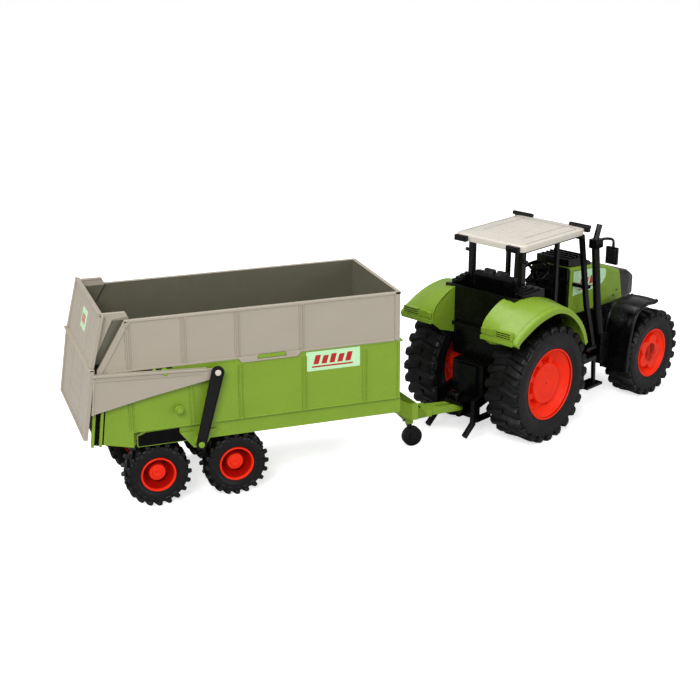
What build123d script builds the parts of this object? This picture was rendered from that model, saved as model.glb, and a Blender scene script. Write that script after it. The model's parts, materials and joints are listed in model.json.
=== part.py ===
"""Toy tractor with a hitched tipping trailer, every moulded or metal piece in its own STEP file.

The trailer is modelled in the hitch frame: origin under the hitch pin, +X forward, +Y left, +Z up,
ground at Z = 0. The tractor is modelled in a frame of the same origin that is turned to the left by
STEER_ANGLE, and is moved into place at the end, when the whole assembly is also centred over its base.
"""

from build123d import *
import math
import os

# --- Driving dimensions, mm and degrees --------------------------------------------------------------
STEER_ANGLE = 25.95  # tractor heading against the trailer, as it stands
RUN_FIT = 0.05  # radial clearance of a turning shaft
GAP = 0.4  # air between pieces that pass each other

# Tractor
REAR_AXLE_X, REAR_RADIUS, REAR_LIP, REAR_WIDTH = 52.7, 52.75, 31.9, 34.0
FRONT_AXLE_X, FRONT_RADIUS, FRONT_LIP, FRONT_WIDTH = 214.2, 41.7, 23.3, 28.0
WHEEL_FACE_Y = 63.4  # outer face of the tractor tyres
TRACTOR_AXLE_R = 3.0
CAB_HALF, SILL_HALF = 36.0, 38.0
CAB_REAR_X, CAB_FRONT_X = 27.0, 131.0
FIREWALL_X = (128.6, 131.6)
CAB_FLOOR_Z = 68.0
ROOF_REAR_X, ROOF_FRONT_X, ROOF_BOTTOM_Z, ROOF_TOP_Z, ROOF_HALF = 36.4, 130.0, 168.0, 174.4, 38.0
HOOD_HALF, HOOD_BOTTOM_Z = 22.0, 88.0
FENDER_OUT_Y, FENDER_IN_Y = 65.0, 27.0
SHEET = 2.4  # moulded wall of the tractor panels
COLUMN_TILT = 30.0  # steering column against the vertical

# Hitch
PIN_R, EYE_R, DRAWBAR_HALF, DRAWBAR_LOW_Z, DRAWBAR_TOP_Z = 2.4, 5.6, 7.5, 28.5, 34.0
LIFT_PIVOT_X, LIFT_PIVOT_Z, LIFT_SHAFT_R = 30.0, 44.0, 2.0

# Trailer
BED_HALF, BED_WALL = 53.0, 2.2
BED_FRONT_X, BED_FOLD_Z, BED_TOP_Z, WALL_TOP_Z = -76.0, 67.4, 117.5, 158.0
BED_REAR_LOW, BED_REAR_TOP = (-326.3, 62.5), (-318.9, 121.0)
WALL_REAR_TOP_X = -296.6
RAIL_HALF, RAIL_LOW_Z, RAIL_REAR_X = 50.5, 54.0, -291.0
TIP_X, TIP_Z, TIP_PIN_R = -285.0, 58.0, 2.0
GATE_PIVOT_X, GATE_PIVOT_Z, GATE_PIVOT_R, PIVOT_BOSS_R = -268.4, 114.2, 1.8, 3.2
LINK_TOP_X, LINK_TOP_Z, LINK_LOW_X, LINK_LOW_Z = -228.2, 110.8, -243.2, 53.3
LINK_PIN_R, LINK_FREE_PLAY = 2.4, 0.9
ARM_IN_Y, ARM_OUT_Y, LINK_IN_Y, LINK_OUT_Y = 55.8, 57.8, 58.4, 60.8
TRAILER_AXLES_X, TRAILER_RADIUS, TRAILER_LIP, TRAILER_WIDTH = (-211.8, -275.0), 26.7, 14.2, 22.0
TRAILER_FACE_Y, TRAILER_AXLE_R = 47.4, 2.0
LEG_X, LEG_FOOT_R, LEG_PIVOT_X, LEG_PIVOT_Z, LEG_PIN_R = -42.0, 8.7, -46.0, 24.6, 1.2

pieces = {}  # node name: finished part, in the order made


# --- Sketching helpers --------------------------------------------------------------------------------
def side_plane(y):
    """The XZ plane at a given Y; its normal points to -Y."""
    return Plane.XZ.offset(-y)


def slab(low, high, mode=Mode.ADD):
    """Adds the box between two corners to the part being built."""
    with BuildSketch(Plane.XY.offset(low[2])) as base:
        with Locations(((low[0] + high[0]) / 2, (low[1] + high[1]) / 2)):
            Rectangle(high[0] - low[0], high[1] - low[1])
    extrude(base.sketch, amount=high[2] - low[2], mode=mode)


def side_shape(points, y_low, y_high, mode=Mode.ADD):
    """Extrudes a closed outline of (x, z) points from y_low to y_high."""
    with BuildSketch(side_plane(y_high)) as outline:
        with BuildLine():
            Polyline(*points, close=True)
        make_face()
    extrude(outline.sketch, amount=y_high - y_low, mode=mode)


def side_loft(points_low, points_high, y_low, y_high, mode=Mode.ADD):
    """Lofts between two (x, z) outlines of the same number of points."""
    sections = []
    for points, y in ((points_low, y_low), (points_high, y_high)):
        with BuildSketch(side_plane(y)) as outline:
            with BuildLine():
                Polyline(*points, close=True)
            make_face()
        sections.append(outline.sketch)
    loft(sections, ruled=True, mode=mode)


def plan_shape(points, z_low, z_high, mode=Mode.ADD):
    """Extrudes a closed outline of (x, y) points from z_low to z_high."""
    with BuildSketch(Plane.XY.offset(z_low)) as outline:
        with BuildLine():
            Polyline(*points, close=True)
        make_face()
    extrude(outline.sketch, amount=z_high - z_low, mode=mode)


def cross_pin(x, z, radius, y_low, y_high, mode=Mode.ADD):
    """A round pin or bore along Y."""
    with BuildSketch(side_plane(y_high)) as disc:
        with Locations((x, z)):
            Circle(radius)
    extrude(disc.sketch, amount=y_high - y_low, mode=mode)


def rod(start, end, radius, mode=Mode.ADD):
    """A round bar between two points in space."""
    path = Vector(*end) - Vector(*start)
    with BuildSketch(Plane(origin=start, z_dir=path)) as disc:
        Circle(radius)
    extrude(disc.sketch, amount=path.length, mode=mode)


def keep(name, builder, label):
    """Labels a finished piece and files it under its node name, in the order made."""
    builder.part.label = label
    pieces[name] = builder.part


# --- Wheels -------------------------------------------------------------------------------------------
def wheel_plane(axle_x, axle_z):
    """Sketch plane through an axle: local x runs along +Y from the centre plane, local y is the radius."""
    return Plane(origin=(axle_x, 0, axle_z), x_dir=(0, 1, 0), z_dir=(1, 0, 0))


def turn_profile(axle_x, axle_z, points):
    """Revolves a (y, radius) outline round an axle."""
    with BuildSketch(wheel_plane(axle_x, axle_z)) as section:
        with BuildLine():
            Polyline(*points, close=True)
        make_face()
    revolve(section.sketch, axis=Axis((axle_x, 0, axle_z), (0, 1, 0)), revolution_arc=360)


def tyre_profile(face_y, width, radius, bead_r):
    """Rounded-shoulder section of a tyre whose outer face is at face_y."""
    shoulder = 0.1 * radius
    in_y = face_y - width
    return [
        (in_y + 0.1 * width, bead_r),
        (in_y, bead_r + 0.35 * (radius - bead_r)),
        (in_y, radius - shoulder),
        (in_y + 0.12 * width, radius),
        (face_y - 0.12 * width, radius),
        (face_y, radius - shoulder),
        (face_y, bead_r + 0.35 * (radius - bead_r)),
        (face_y - 0.1 * width, bead_r),
    ]


def rim_profile(face_y, width, lip_r, hub_r, shaft_r):
    """Deep-dish section: stepped barrel, disc near mid width, raised hub with a blind shaft bore."""
    lip_y = face_y - 0.1 * width
    in_y = face_y - 0.9 * width
    disc_y = face_y - 0.46 * width
    wall = 0.07 * lip_r
    return [
        (in_y, lip_r),
        (lip_y, lip_r),
        (lip_y, lip_r - wall),
        (lip_y - 0.13 * width, lip_r - wall),
        (lip_y - 0.13 * width, lip_r - 2 * wall),
        (disc_y, lip_r - 2.4 * wall),
        (disc_y, hub_r + wall),
        (disc_y + 0.16 * width, hub_r),
        (disc_y + 0.2 * width, 0.35 * hub_r),
        (disc_y + 0.2 * width, 0),
        (disc_y + 0.02 * width, 0),
        (disc_y + 0.02 * width, shaft_r),
        (in_y + 0.12 * width, shaft_r),
        (in_y + 0.12 * width, shaft_r + 3.0),
        (disc_y - 0.1 * width, hub_r),
        (disc_y - 0.1 * width, lip_r - 2.4 * wall),
        (in_y, lip_r - 1.5 * wall),
    ]


def flip_y(points):
    """Mirrors a (y, radius) outline to the other side of the tractor or trailer."""
    return [(-y, r) for y, r in points]


def make_wheelset(name, axle_x, radius, lip_r, width, face_y, shaft_r, pockets, label):
    """Tyre and rim on each side and the axle between them, filed under name_*."""
    hub_r = 0.42 * lip_r
    for side, flip in (("left", list), ("right", flip_y)):
        with BuildPart() as tyre:
            turn_profile(axle_x, radius, flip(tyre_profile(face_y, width, radius, lip_r)))
        keep(f"{name}_tyre_{side}", tyre, f"{label} tyre, {side}")
        with BuildPart() as rim:
            turn_profile(axle_x, radius, flip(rim_profile(face_y, width, lip_r, hub_r, shaft_r)))
            pocket_centre = 0.5 * (lip_r * 0.83 + hub_r)
            with BuildSketch(side_plane(face_y if side == "left" else 0)):
                with Locations((axle_x, radius)):
                    with PolarLocations(pocket_centre, pockets):
                        SlotOverall(0.34 * lip_r, 0.17 * lip_r, rotation=90)
            extrude(amount=face_y, mode=Mode.SUBTRACT)
        keep(f"{name}_rim_{side}", rim, f"{label} rim, {side}")
    shaft_end = face_y - 0.44 * width
    with BuildPart() as axle:
        cross_pin(axle_x, radius, shaft_r, -shaft_end, shaft_end)
    keep(f"{name}_axle", axle, f"{label} axle")


# --- Trailer --------------------------------------------------------------------------------------------
def bed_rear_x(z):
    """X of the slanted rear edge of the bed sides at a height."""
    share = (z - BED_REAR_LOW[1]) / (BED_REAR_TOP[1] - BED_REAR_LOW[1])
    return BED_REAR_LOW[0] + share * (BED_REAR_TOP[0] - BED_REAR_LOW[0])


BED_RIBS_X = (-295.0, -247.8, -208.5, -156.5, -105.6)
WALL_RIBS_X = (-294.8, -252.5, -210.3, -158.4)
SKIRT_FRONT_X = RAIL_REAR_X - 3.0
IN_HALF = BED_HALF - BED_WALL
FLOOR_TOP_Z = BED_FOLD_Z + 2.4

with BuildPart() as bed_tub:
    side_outline = [
        (BED_FRONT_X, BED_FOLD_Z),
        (BED_FRONT_X, BED_TOP_Z),
        (bed_rear_x(BED_TOP_Z), BED_TOP_Z),
        BED_REAR_LOW,
        (SKIRT_FRONT_X, 55.0),
        (SKIRT_FRONT_X, BED_FOLD_Z),
    ]
    side_shape(side_outline, -BED_HALF, BED_HALF)
    slab((-340, -IN_HALF, FLOOR_TOP_Z), (BED_FRONT_X - BED_WALL, IN_HALF, BED_TOP_Z + 1), Mode.SUBTRACT)
    slab((-340, -IN_HALF, 50), (SKIRT_FRONT_X + 1, IN_HALF, BED_FOLD_Z), Mode.SUBTRACT)
    for side in (-1, 1):
        for rib_x in BED_RIBS_X:
            low_y, high_y = sorted((side * (BED_HALF - 0.5), side * (BED_HALF + 0.9)))
            slab((rib_x - 1.6, low_y, BED_FOLD_Z + 1.2), (rib_x + 1.6, high_y, 113.8))
        low_y, high_y = sorted((side * (BED_HALF - 0.5), side * (BED_HALF + 1.4)))
        slab((-194.4, low_y, 116.2), (-171.7, high_y, 119.2))
        low_y, high_y = sorted((side * (BED_HALF - 0.5), side * (BED_HALF + 7.0)))
        cross_pin(-258.6, 83.0, 3.6, low_y, high_y)
        low_y, high_y = sorted((side * IN_HALF, side * (ARM_IN_Y - GAP)))
        cross_pin(GATE_PIVOT_X, GATE_PIVOT_Z, PIVOT_BOSS_R, low_y, high_y)
        cross_pin(GATE_PIVOT_X, GATE_PIVOT_Z, GATE_PIVOT_R, -60, 60, Mode.SUBTRACT)
        # hinge lug under the floor, outside the chassis lug
        low_y, high_y = sorted((side * 40.5, side * 43.5))
        side_shape([(TIP_X - 6, BED_FOLD_Z + 0.5), (TIP_X + 6, BED_FOLD_Z + 0.5), (TIP_X + 4, TIP_Z - 4),
                    (TIP_X - 4, TIP_Z - 4)], low_y, high_y)
    cross_pin(TIP_X, TIP_Z, TIP_PIN_R + RUN_FIT, -44, 44, Mode.SUBTRACT)
    for ridge_z in (BED_FOLD_Z + 4.0, BED_TOP_Z - 8.0):
        slab((BED_FRONT_X - 1.0, -46.0, ridge_z), (BED_FRONT_X + 1.8, 46.0, ridge_z + 3.0))
    slab((BED_FRONT_X - 0.5, -BED_HALF, BED_TOP_Z - 1.5), (BED_FRONT_X + 3.0, BED_HALF, BED_TOP_Z))
keep("bed_tub", bed_tub, "green load bed")

with BuildPart() as bed_extension:
    wall_outline = [
        (BED_FRONT_X, BED_TOP_Z),
        (BED_FRONT_X, WALL_TOP_Z),
        (WALL_REAR_TOP_X, WALL_TOP_Z),
        (BED_REAR_TOP[0], BED_REAR_TOP[1]),
        (bed_rear_x(BED_TOP_Z), BED_TOP_Z),
    ]
    side_shape(wall_outline, -BED_HALF, BED_HALF)
    slab((-340, -IN_HALF, BED_TOP_Z - 1), (BED_FRONT_X - BED_WALL, IN_HALF, WALL_TOP_Z + 1), Mode.SUBTRACT)
    for side in (-1, 1):
        low_y, high_y = sorted((side * (BED_HALF - 0.5), side * (BED_HALF + 0.9)))
        for rib_x in WALL_RIBS_X:
            slab((rib_x - 1.6, low_y, BED_TOP_Z + 2.0), (rib_x + 1.6, high_y, WALL_TOP_Z - 2.2))
        slab((BED_FRONT_X - 4.0, low_y, BED_TOP_Z), (BED_FRONT_X, high_y, WALL_TOP_Z))
        slab((-311.5, low_y, BED_TOP_Z), (BED_FRONT_X - 3.0, high_y, BED_TOP_Z + 1.6))
        rim_outline = [(BED_FRONT_X, WALL_TOP_Z - 2.0), (BED_FRONT_X, WALL_TOP_Z),
                       (WALL_REAR_TOP_X, WALL_TOP_Z), (WALL_REAR_TOP_X - 1.2, WALL_TOP_Z - 2.0)]
        side_shape(rim_outline, low_y, high_y)
        # clip flap that hangs over the bed side, with the slot for the green lug
        flap = [(-211.5, BED_TOP_Z + 0.6), (-158.0, BED_TOP_Z + 0.6), (-162.2, 114.2), (-207.4, 114.2)]
        low_y, high_y = sorted((side * (BED_HALF + 0.05), side * (BED_HALF + 1.1)))
        side_shape(flap, low_y, high_y)
        low_y, high_y = sorted((side * (BED_HALF - 0.6), side * (BED_HALF + 3)))
        slab((-194.7, low_y, 115.9), (-171.4, high_y, 119.5), Mode.SUBTRACT)
    # tongue that slides behind the bed's front wall
    slab((BED_FRONT_X - 4.4, -40.0, 110.0), (BED_FRONT_X - BED_WALL, 40.0, BED_TOP_Z + 0.2))
keep("bed_extension", bed_extension, "grey side extension")

with BuildPart() as gate_pivot_pins:
    for side in (-1, 1):
        low_y, high_y = sorted((side * (IN_HALF - 0.6), side * (ARM_OUT_Y + 0.9)))
        cross_pin(GATE_PIVOT_X, GATE_PIVOT_Z, GATE_PIVOT_R, low_y, high_y)
keep("gate_pivot_pins", gate_pivot_pins, "tailgate pivot pins")

GATE_LOW, GATE_MID, GATE_TOP = (-332.0, 68.0), (-323.5, 123.5), (-313.7, 164.0)
GATE_THICK = 2.2


def inset_line(start, end, depth):
    """Moves a gate edge forward, square to itself, into the bed."""
    length = math.dist(start, end)
    shift_x = depth * (end[1] - start[1]) / length
    shift_z = -depth * (end[0] - start[0]) / length
    return (start[0] + shift_x, start[1] + shift_z), (end[0] + shift_x, end[1] + shift_z)


with BuildPart() as gate_lower:
    inner_low, inner_mid = inset_line(GATE_LOW, GATE_MID, GATE_THICK)
    side_shape([GATE_LOW, GATE_MID, inner_mid, inner_low], -ARM_OUT_Y, ARM_OUT_Y)
    raised_low, raised_mid = inset_line(GATE_LOW, GATE_MID, -1.2)
    for side in (-1, 1):
        low_y, high_y = sorted((side * (ARM_OUT_Y - 5.0), side * ARM_OUT_Y))
        side_shape([raised_low, (raised_mid[0], GATE_MID[1]), GATE_MID, GATE_LOW], low_y, high_y)
        arm_outline = [
            (inner_mid[0] - 0.4, 121.2),
            (-231.0, 115.4),
            (-224.0, 113.6),
            (-222.2, 109.8),
            (-225.0, 106.4),
            (-238.0, 104.2),
            (-281.0, 96.7),
            (inner_mid[0] - 4.6, 87.4),
        ]
        low_y, high_y = sorted((side * ARM_IN_Y, side * ARM_OUT_Y))
        side_shape(arm_outline, low_y, high_y)
        cross_pin(GATE_PIVOT_X, GATE_PIVOT_Z, GATE_PIVOT_R + RUN_FIT, low_y - 1, high_y + 1, Mode.SUBTRACT)
        cross_pin(LINK_TOP_X, LINK_TOP_Z, LINK_PIN_R, low_y - 1, high_y + 1, Mode.SUBTRACT)
    slab((GATE_MID[0] - 3.0, -ARM_OUT_Y, GATE_MID[1] - 1.6), (GATE_MID[0] + 1.8, ARM_OUT_Y, GATE_MID[1]))
keep("gate_lower", gate_lower, "lower tailgate with side arms")

with BuildPart() as gate_upper:
    upper_foot = (GATE_MID[0], GATE_MID[1])
    inner_foot, inner_top = inset_line(upper_foot, GATE_TOP, GATE_THICK)
    side_shape([upper_foot, GATE_TOP, inner_top, (inner_foot[0], GATE_MID[1])], -55.0, 55.0)
    raised_foot, raised_top = inset_line(upper_foot, GATE_TOP, -1.2)
    raised_outline = [(raised_foot[0], GATE_MID[1]), raised_top, GATE_TOP, upper_foot]
    for low_y, high_y in ((-55.0, -50.0), (50.0, 55.0)):
        side_shape(raised_outline, low_y, high_y)
    for side in (-1, 1):
        wing = [(inner_top[0] - 0.6, GATE_TOP[1] - 0.6), (-294.2, 163.0), (-296.0, 159.8), (-305.0, 158.6),
                (inner_foot[0] + 1.0, GATE_MID[1] + 4.0), (inner_foot[0], GATE_MID[1] + 4.0)]
        low_y, high_y = sorted((side * (IN_HALF - GAP), side * (IN_HALF - GAP - 1.8)))
        side_shape(wing, low_y, high_y)
keep("gate_upper", gate_upper, "upper tailgate panel")

with BuildPart() as link_top_pins:
    for side in (-1, 1):
        low_y, high_y = sorted((side * ARM_IN_Y, side * (LINK_OUT_Y + 0.5)))
        cross_pin(LINK_TOP_X, LINK_TOP_Z, LINK_PIN_R, low_y, high_y)
keep("link_top_pins", link_top_pins, "pins that join the gate arms to the link bars")

for side, side_name in ((1, "left"), (-1, "right")):
    with BuildPart() as link_bar:
        low_y, high_y = sorted((side * LINK_IN_Y, side * LINK_OUT_Y))
        lean = math.degrees(math.atan2(LINK_TOP_Z - LINK_LOW_Z, LINK_TOP_X - LINK_LOW_X))
        with BuildSketch(side_plane(high_y)):
            with Locations(((LINK_TOP_X + LINK_LOW_X) / 2, (LINK_TOP_Z + LINK_LOW_Z) / 2)):
                Rectangle(math.dist((LINK_TOP_X, LINK_TOP_Z), (LINK_LOW_X, LINK_LOW_Z)), 7.5, rotation=lean)
            with Locations((LINK_TOP_X, LINK_TOP_Z)):
                Circle(6.6)
            with Locations((LINK_LOW_X, LINK_LOW_Z)):
                Circle(5.0)
            with Locations((LINK_TOP_X, LINK_TOP_Z)):
                Circle(LINK_PIN_R + LINK_FREE_PLAY, mode=Mode.SUBTRACT)
            with Locations((LINK_LOW_X, LINK_LOW_Z)):
                Circle(LINK_PIN_R + RUN_FIT, mode=Mode.SUBTRACT)
        extrude(amount=high_y - low_y)
    keep(f"link_bar_{side_name}", link_bar, f"tailgate link bar, {side_name}")

RAIL_FRONT_X, RAIL_TOP_Z = -79.0, BED_FOLD_Z - GAP
# the rear top corner is cut back so that the bed floor swings past it
RAIL_OUTLINE = [(RAIL_REAR_X, RAIL_LOW_Z), (RAIL_REAR_X, 63.4), (TIP_X - 3.2, 66.0), (TIP_X, RAIL_TOP_Z),
                (RAIL_FRONT_X, RAIL_TOP_Z), (RAIL_FRONT_X, RAIL_LOW_Z)]
KEEL_HALF = 19.0
with BuildPart() as trailer_chassis:
    for side in (-1, 1):
        low_y, high_y = sorted((side * (RAIL_HALF - 2.6), side * RAIL_HALF))
        side_shape(RAIL_OUTLINE, low_y, high_y)
        # bracket that carries the lower link pin, between the wheels
        bracket = [(-258.0, RAIL_LOW_Z + 8), (-228.0, RAIL_LOW_Z + 8), (-239.0, 48.2), (-247.4, 48.2)]
        low_y, high_y = sorted((side * (RAIL_HALF - 2.0), side * (RAIL_HALF + 1.6)))
        side_shape(bracket, low_y, high_y)
        low_y, high_y = sorted((side * (RAIL_HALF - 2.0), side * (LINK_IN_Y - GAP)))
        cross_pin(LINK_LOW_X, LINK_LOW_Z, 4.2, low_y, high_y)
        # hinge lug beside the keel
        low_y, high_y = sorted((side * 44.0, side * 48.4))
        side_shape([(TIP_X - 5, TIP_Z - 4), (TIP_X - 5, BED_FOLD_Z - 2.4), (TIP_X + 5, BED_FOLD_Z - 2.4),
                    (TIP_X + 5, TIP_Z - 4)], low_y, high_y)
    for cross_x in (-95.0, -165.0, -243.4):
        slab((cross_x - 6.0, -RAIL_HALF + 1.0, 56.0), (cross_x + 6.0, RAIL_HALF - 1.0, 60.0))
    slab((RAIL_REAR_X + 10.0, -23.0, 54.5), (-85.0, 23.0, 60.0))
    # keel that holds both axles
    for axle_x in TRAILER_AXLES_X:
        keel = [(axle_x - 8, 21.0), (axle_x + 8, 21.0), (axle_x + 12, 55.0), (axle_x - 6, 55.0)]
        side_shape(keel, -KEEL_HALF, KEEL_HALF)
        cross_pin(axle_x, TRAILER_RADIUS, TRAILER_AXLE_R + RUN_FIT, -60, 60, Mode.SUBTRACT)
    cross_pin(TIP_X, TIP_Z, TIP_PIN_R, -60, 60, Mode.SUBTRACT)
    for side in (-1, 1):
        cross_pin(LINK_LOW_X, LINK_LOW_Z, LINK_PIN_R, *sorted((side * 47.0, side * 60.0)), Mode.SUBTRACT)
keep("trailer_chassis", trailer_chassis, "trailer chassis frame")

with BuildPart() as link_low_pins:
    for side in (-1, 1):
        low_y, high_y = sorted((side * 48.6, side * (LINK_OUT_Y + 0.9)))
        cross_pin(LINK_LOW_X, LINK_LOW_Z, LINK_PIN_R, low_y, high_y)
keep("link_low_pins", link_low_pins, "pins of the link bars on the chassis")

with BuildPart() as tip_hinge_pin:
    for side in (-1, 1):
        cross_pin(TIP_X, TIP_Z, TIP_PIN_R, *sorted((side * 39.8, side * 48.4)))
keep("tip_hinge_pins", tip_hinge_pin, "hinge pins of the tipping bed")

# along each arm of the A-frame: x, middle y, bottom z, top z
DRAWBAR_STATIONS = ((-79.0, 48.4, 54.0, 67.0), (-54.0, 27.0, 35.6, 49.4), (-33.0, 8.2, 28.6, 34.0))
with BuildPart() as drawbar:
    for side in (-1, 1):
        stations = []
        for x, mid_y, low_z, top_z in DRAWBAR_STATIONS:
            with BuildSketch(Plane.YZ.offset(x)) as station:
                with Locations((side * mid_y, (low_z + top_z) / 2)):
                    Rectangle(3.6, top_z - low_z)
            stations.append(station.sketch)
        loft(stations, ruled=True)
        # cheeks of the leg hinge under the tongue
        low_y, high_y = sorted((side * (1.8 + GAP), side * 4.6))
        cheek = [(LEG_PIVOT_X - 4, DRAWBAR_LOW_Z + 1), (LEG_PIVOT_X - 3, LEG_PIVOT_Z - 2.8),
                 (LEG_PIVOT_X + 3, LEG_PIVOT_Z - 2.8), (LEG_PIVOT_X + 4, DRAWBAR_LOW_Z + 1)]
        side_shape(cheek, low_y, high_y)
    cross_pin(LEG_PIVOT_X, LEG_PIVOT_Z, LEG_PIN_R, -4.6, 4.6)
    slab((-90.0, -RAIL_HALF + 2.6, 60.8), (RAIL_FRONT_X, RAIL_HALF - 2.6, RAIL_TOP_Z))
    plan_shape([(-54.0, -DRAWBAR_HALF), (-30.0, -DRAWBAR_HALF), (0.0, -EYE_R), (0.0, EYE_R),
                (-30.0, DRAWBAR_HALF), (-54.0, DRAWBAR_HALF)], DRAWBAR_LOW_Z, DRAWBAR_TOP_Z)
    with BuildSketch(Plane.XY.offset(DRAWBAR_LOW_Z)):
        Circle(EYE_R)
    extrude(amount=DRAWBAR_TOP_Z - DRAWBAR_LOW_Z)
    with BuildSketch(Plane.XY.offset(DRAWBAR_LOW_Z)):
        Circle(PIN_R + RUN_FIT)
        with Locations((-9.0, 0)):
            Rectangle(18.0, 2 * (PIN_R + RUN_FIT))
        with Locations((-18.0, 0)):
            Circle(PIN_R + RUN_FIT)
    extrude(amount=DRAWBAR_TOP_Z - DRAWBAR_LOW_Z, mode=Mode.SUBTRACT)
keep("drawbar", drawbar, "A-frame drawbar with towing eye")

with BuildPart() as leg_bracket:
    slab((-54.0, -5.5, DRAWBAR_TOP_Z), (-36.0, 5.5, DRAWBAR_TOP_Z + 2.4))
    side_shape([(-78.6, 57.6), (-54.0, 34.2), (-50.0, 34.2), (-50.0, 36.4), (-78.6, 62.6)], -5.0, 5.0)
keep("leg_bracket", leg_bracket, "black stay between the drawbar and the chassis")

with BuildPart() as support_leg:
    side_shape([(LEG_PIVOT_X - 2.2, LEG_PIVOT_Z), (LEG_PIVOT_X + 2.2, LEG_PIVOT_Z), (LEG_X + 1.7, LEG_FOOT_R),
                (LEG_X - 1.7, LEG_FOOT_R)], -1.8, 1.8)
    cross_pin(LEG_PIVOT_X, LEG_PIVOT_Z, 3.0, -1.8, 1.8)
    cross_pin(LEG_X, LEG_FOOT_R, LEG_FOOT_R, -2.6, 2.6)
    cross_pin(LEG_X, LEG_FOOT_R, 3.0, -3.4, 3.4)
    cross_pin(LEG_PIVOT_X, LEG_PIVOT_Z, LEG_PIN_R + RUN_FIT, -5, 5, Mode.SUBTRACT)
keep("support_leg", support_leg, "folding support leg with round foot")

for wheelset, axle_x in zip(("trailer_front", "trailer_rear"), TRAILER_AXLES_X):
    make_wheelset(wheelset, axle_x, TRAILER_RADIUS, TRAILER_LIP, TRAILER_WIDTH, TRAILER_FACE_Y,
                  TRAILER_AXLE_R, 6, wheelset.replace("_", " ") + " wheel")

trailer_names = set(pieces)

# --- Tractor --------------------------------------------------------------------------------------------
make_wheelset("rear", REAR_AXLE_X, REAR_RADIUS, REAR_LIP, REAR_WIDTH, WHEEL_FACE_Y, TRACTOR_AXLE_R, 8,
              "tractor rear wheel")
make_wheelset("front", FRONT_AXLE_X, FRONT_RADIUS, FRONT_LIP, FRONT_WIDTH, WHEEL_FACE_Y, TRACTOR_AXLE_R, 8,
              "tractor front wheel")

with BuildPart() as transmission:
    side_shape([(14.0, 38.0), (14.0, CAB_FLOOR_Z), (200.0, CAB_FLOOR_Z), (200.0, 36.0), (150.0, 34.0)],
               -17.0, 17.0)
    side_shape([(134.0, CAB_FLOOR_Z), (134.0, HOOD_BOTTOM_Z), (210.0, HOOD_BOTTOM_Z - 4.0),
                (236.0, 62.0), (200.0, 56.0), (180.0, 56.0)], -18.0, 18.0)
    cross_pin(REAR_AXLE_X, REAR_RADIUS, 12.0, -27.0, 27.0)
    slab((104.0, -27.0, 38.0), (134.0, 27.0, 60.0))
    for side in (-1, 1):
        # pivot ears of the lift arms
        low_y, high_y = sorted((side * 16.0, side * 18.4))
        side_shape([(24.0, 38.4), (24.0, 50.0), (36.0, 50.0), (36.0, 38.4)], low_y, high_y)
    cross_pin(REAR_AXLE_X, REAR_RADIUS, TRACTOR_AXLE_R + RUN_FIT, -60, 60, Mode.SUBTRACT)
    cross_pin(LIFT_PIVOT_X, LIFT_PIVOT_Z, LIFT_SHAFT_R + RUN_FIT, -60, 60, Mode.SUBTRACT)
keep("transmission_housing", transmission, "transmission and engine block")

with BuildPart() as front_axle_beam:
    side_shape([(206.0, 34.0), (222.0, 34.0), (222.0, 52.0), (206.0, 52.0)], -34.0, 34.0)
    slab((204.0, -12.0, 50.0), (224.0, 12.0, 55.8))
    cross_pin(FRONT_AXLE_X, FRONT_RADIUS, TRACTOR_AXLE_R + RUN_FIT, -60, 60, Mode.SUBTRACT)
keep("front_axle_beam", front_axle_beam, "front axle beam")

HOOD_TOP = [(132.0, 133.4), (172.0, 129.1), (190.0, 124.6), (203.0, 119.8), (211.0, 116.6)]
SEAM_TOP, SEAM_LOW = (212.0, 116.2), (219.0, 85.0)
with BuildPart() as hood:
    side_shape([(132.0, HOOD_BOTTOM_Z), *HOOD_TOP, SEAM_TOP, SEAM_LOW, (200.0, 86.5)], -HOOD_HALF, HOOD_HALF)
    shoulder_edges = [
        edge for edge in hood.edges()
        if edge.center().Z > 112 and abs(edge.center().Y) > HOOD_HALF - 0.1 and edge.length > 2.5
    ]
    fillet(shoulder_edges, radius=2.6)
    side_shape([(129.0, 80.0), (129.0, 130.6), (171.0, 126.4), (189.0, 121.8), (207.0, 114.4),
                (215.0, 80.0)], -HOOD_HALF + SHEET, HOOD_HALF - SHEET, Mode.SUBTRACT)
keep("hood", hood, "green engine hood")

with BuildPart() as nose:
    nose_sections = (
        (212.6, 100.6, 21.4, 31.2),
        (230.0, 98.6, 20.6, 27.4),
        (241.0, 95.4, 18.2, 21.6),
        (246.0, 93.4, 14.6, 15.6),
    )
    for x, mid_z, half_width, height in nose_sections:
        with BuildSketch(Plane.YZ.offset(x)):
            with Locations((0, mid_z)):
                RectangleRounded(2 * half_width, height, 4.0)
    loft(ruled=True)
    side_shape([(200.0, 70.0), (200.0, 125.0), (SEAM_TOP[0] + 0.2, 125.0), (SEAM_TOP[0] + 0.2, SEAM_TOP[1]),
                (SEAM_LOW[0] + 0.2, SEAM_LOW[1]), (SEAM_LOW[0] + 0.2, 70.0)], -30, 30, Mode.SUBTRACT)
keep("nose_grille", nose, "dark nose with radiator grille")

with BuildPart() as nose_skirt:
    side_shape([(236.4, 62.0), (219.4, 78.4), (219.4, 84.4), (243.0, 84.4), (240.0, 62.0)], -16.0, 16.0)
keep("nose_skirt", nose_skirt, "lower nose panel under the grille")

with BuildPart() as cowl:
    side_shape([(132.6, 133.8), (132.6, 140.4), (150.0, 139.0), (166.0, 133.6), (170.0, 129.8)], -18.0, 18.0)
    for ridge_x in (138.0, 144.0, 150.0, 156.0):
        side_shape([(ridge_x, 138.0), (ridge_x, 141.2), (ridge_x + 2.4, 140.8), (ridge_x + 2.4, 136.0)],
                   -16.0, 16.0)
    side_shape([(132.0, 120.0), (132.0, 133.95), (172.0, 129.6), (172.0, 120.0)], -24, 24, Mode.SUBTRACT)
keep("hood_air_box", cowl, "black air box on the hood")

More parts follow.
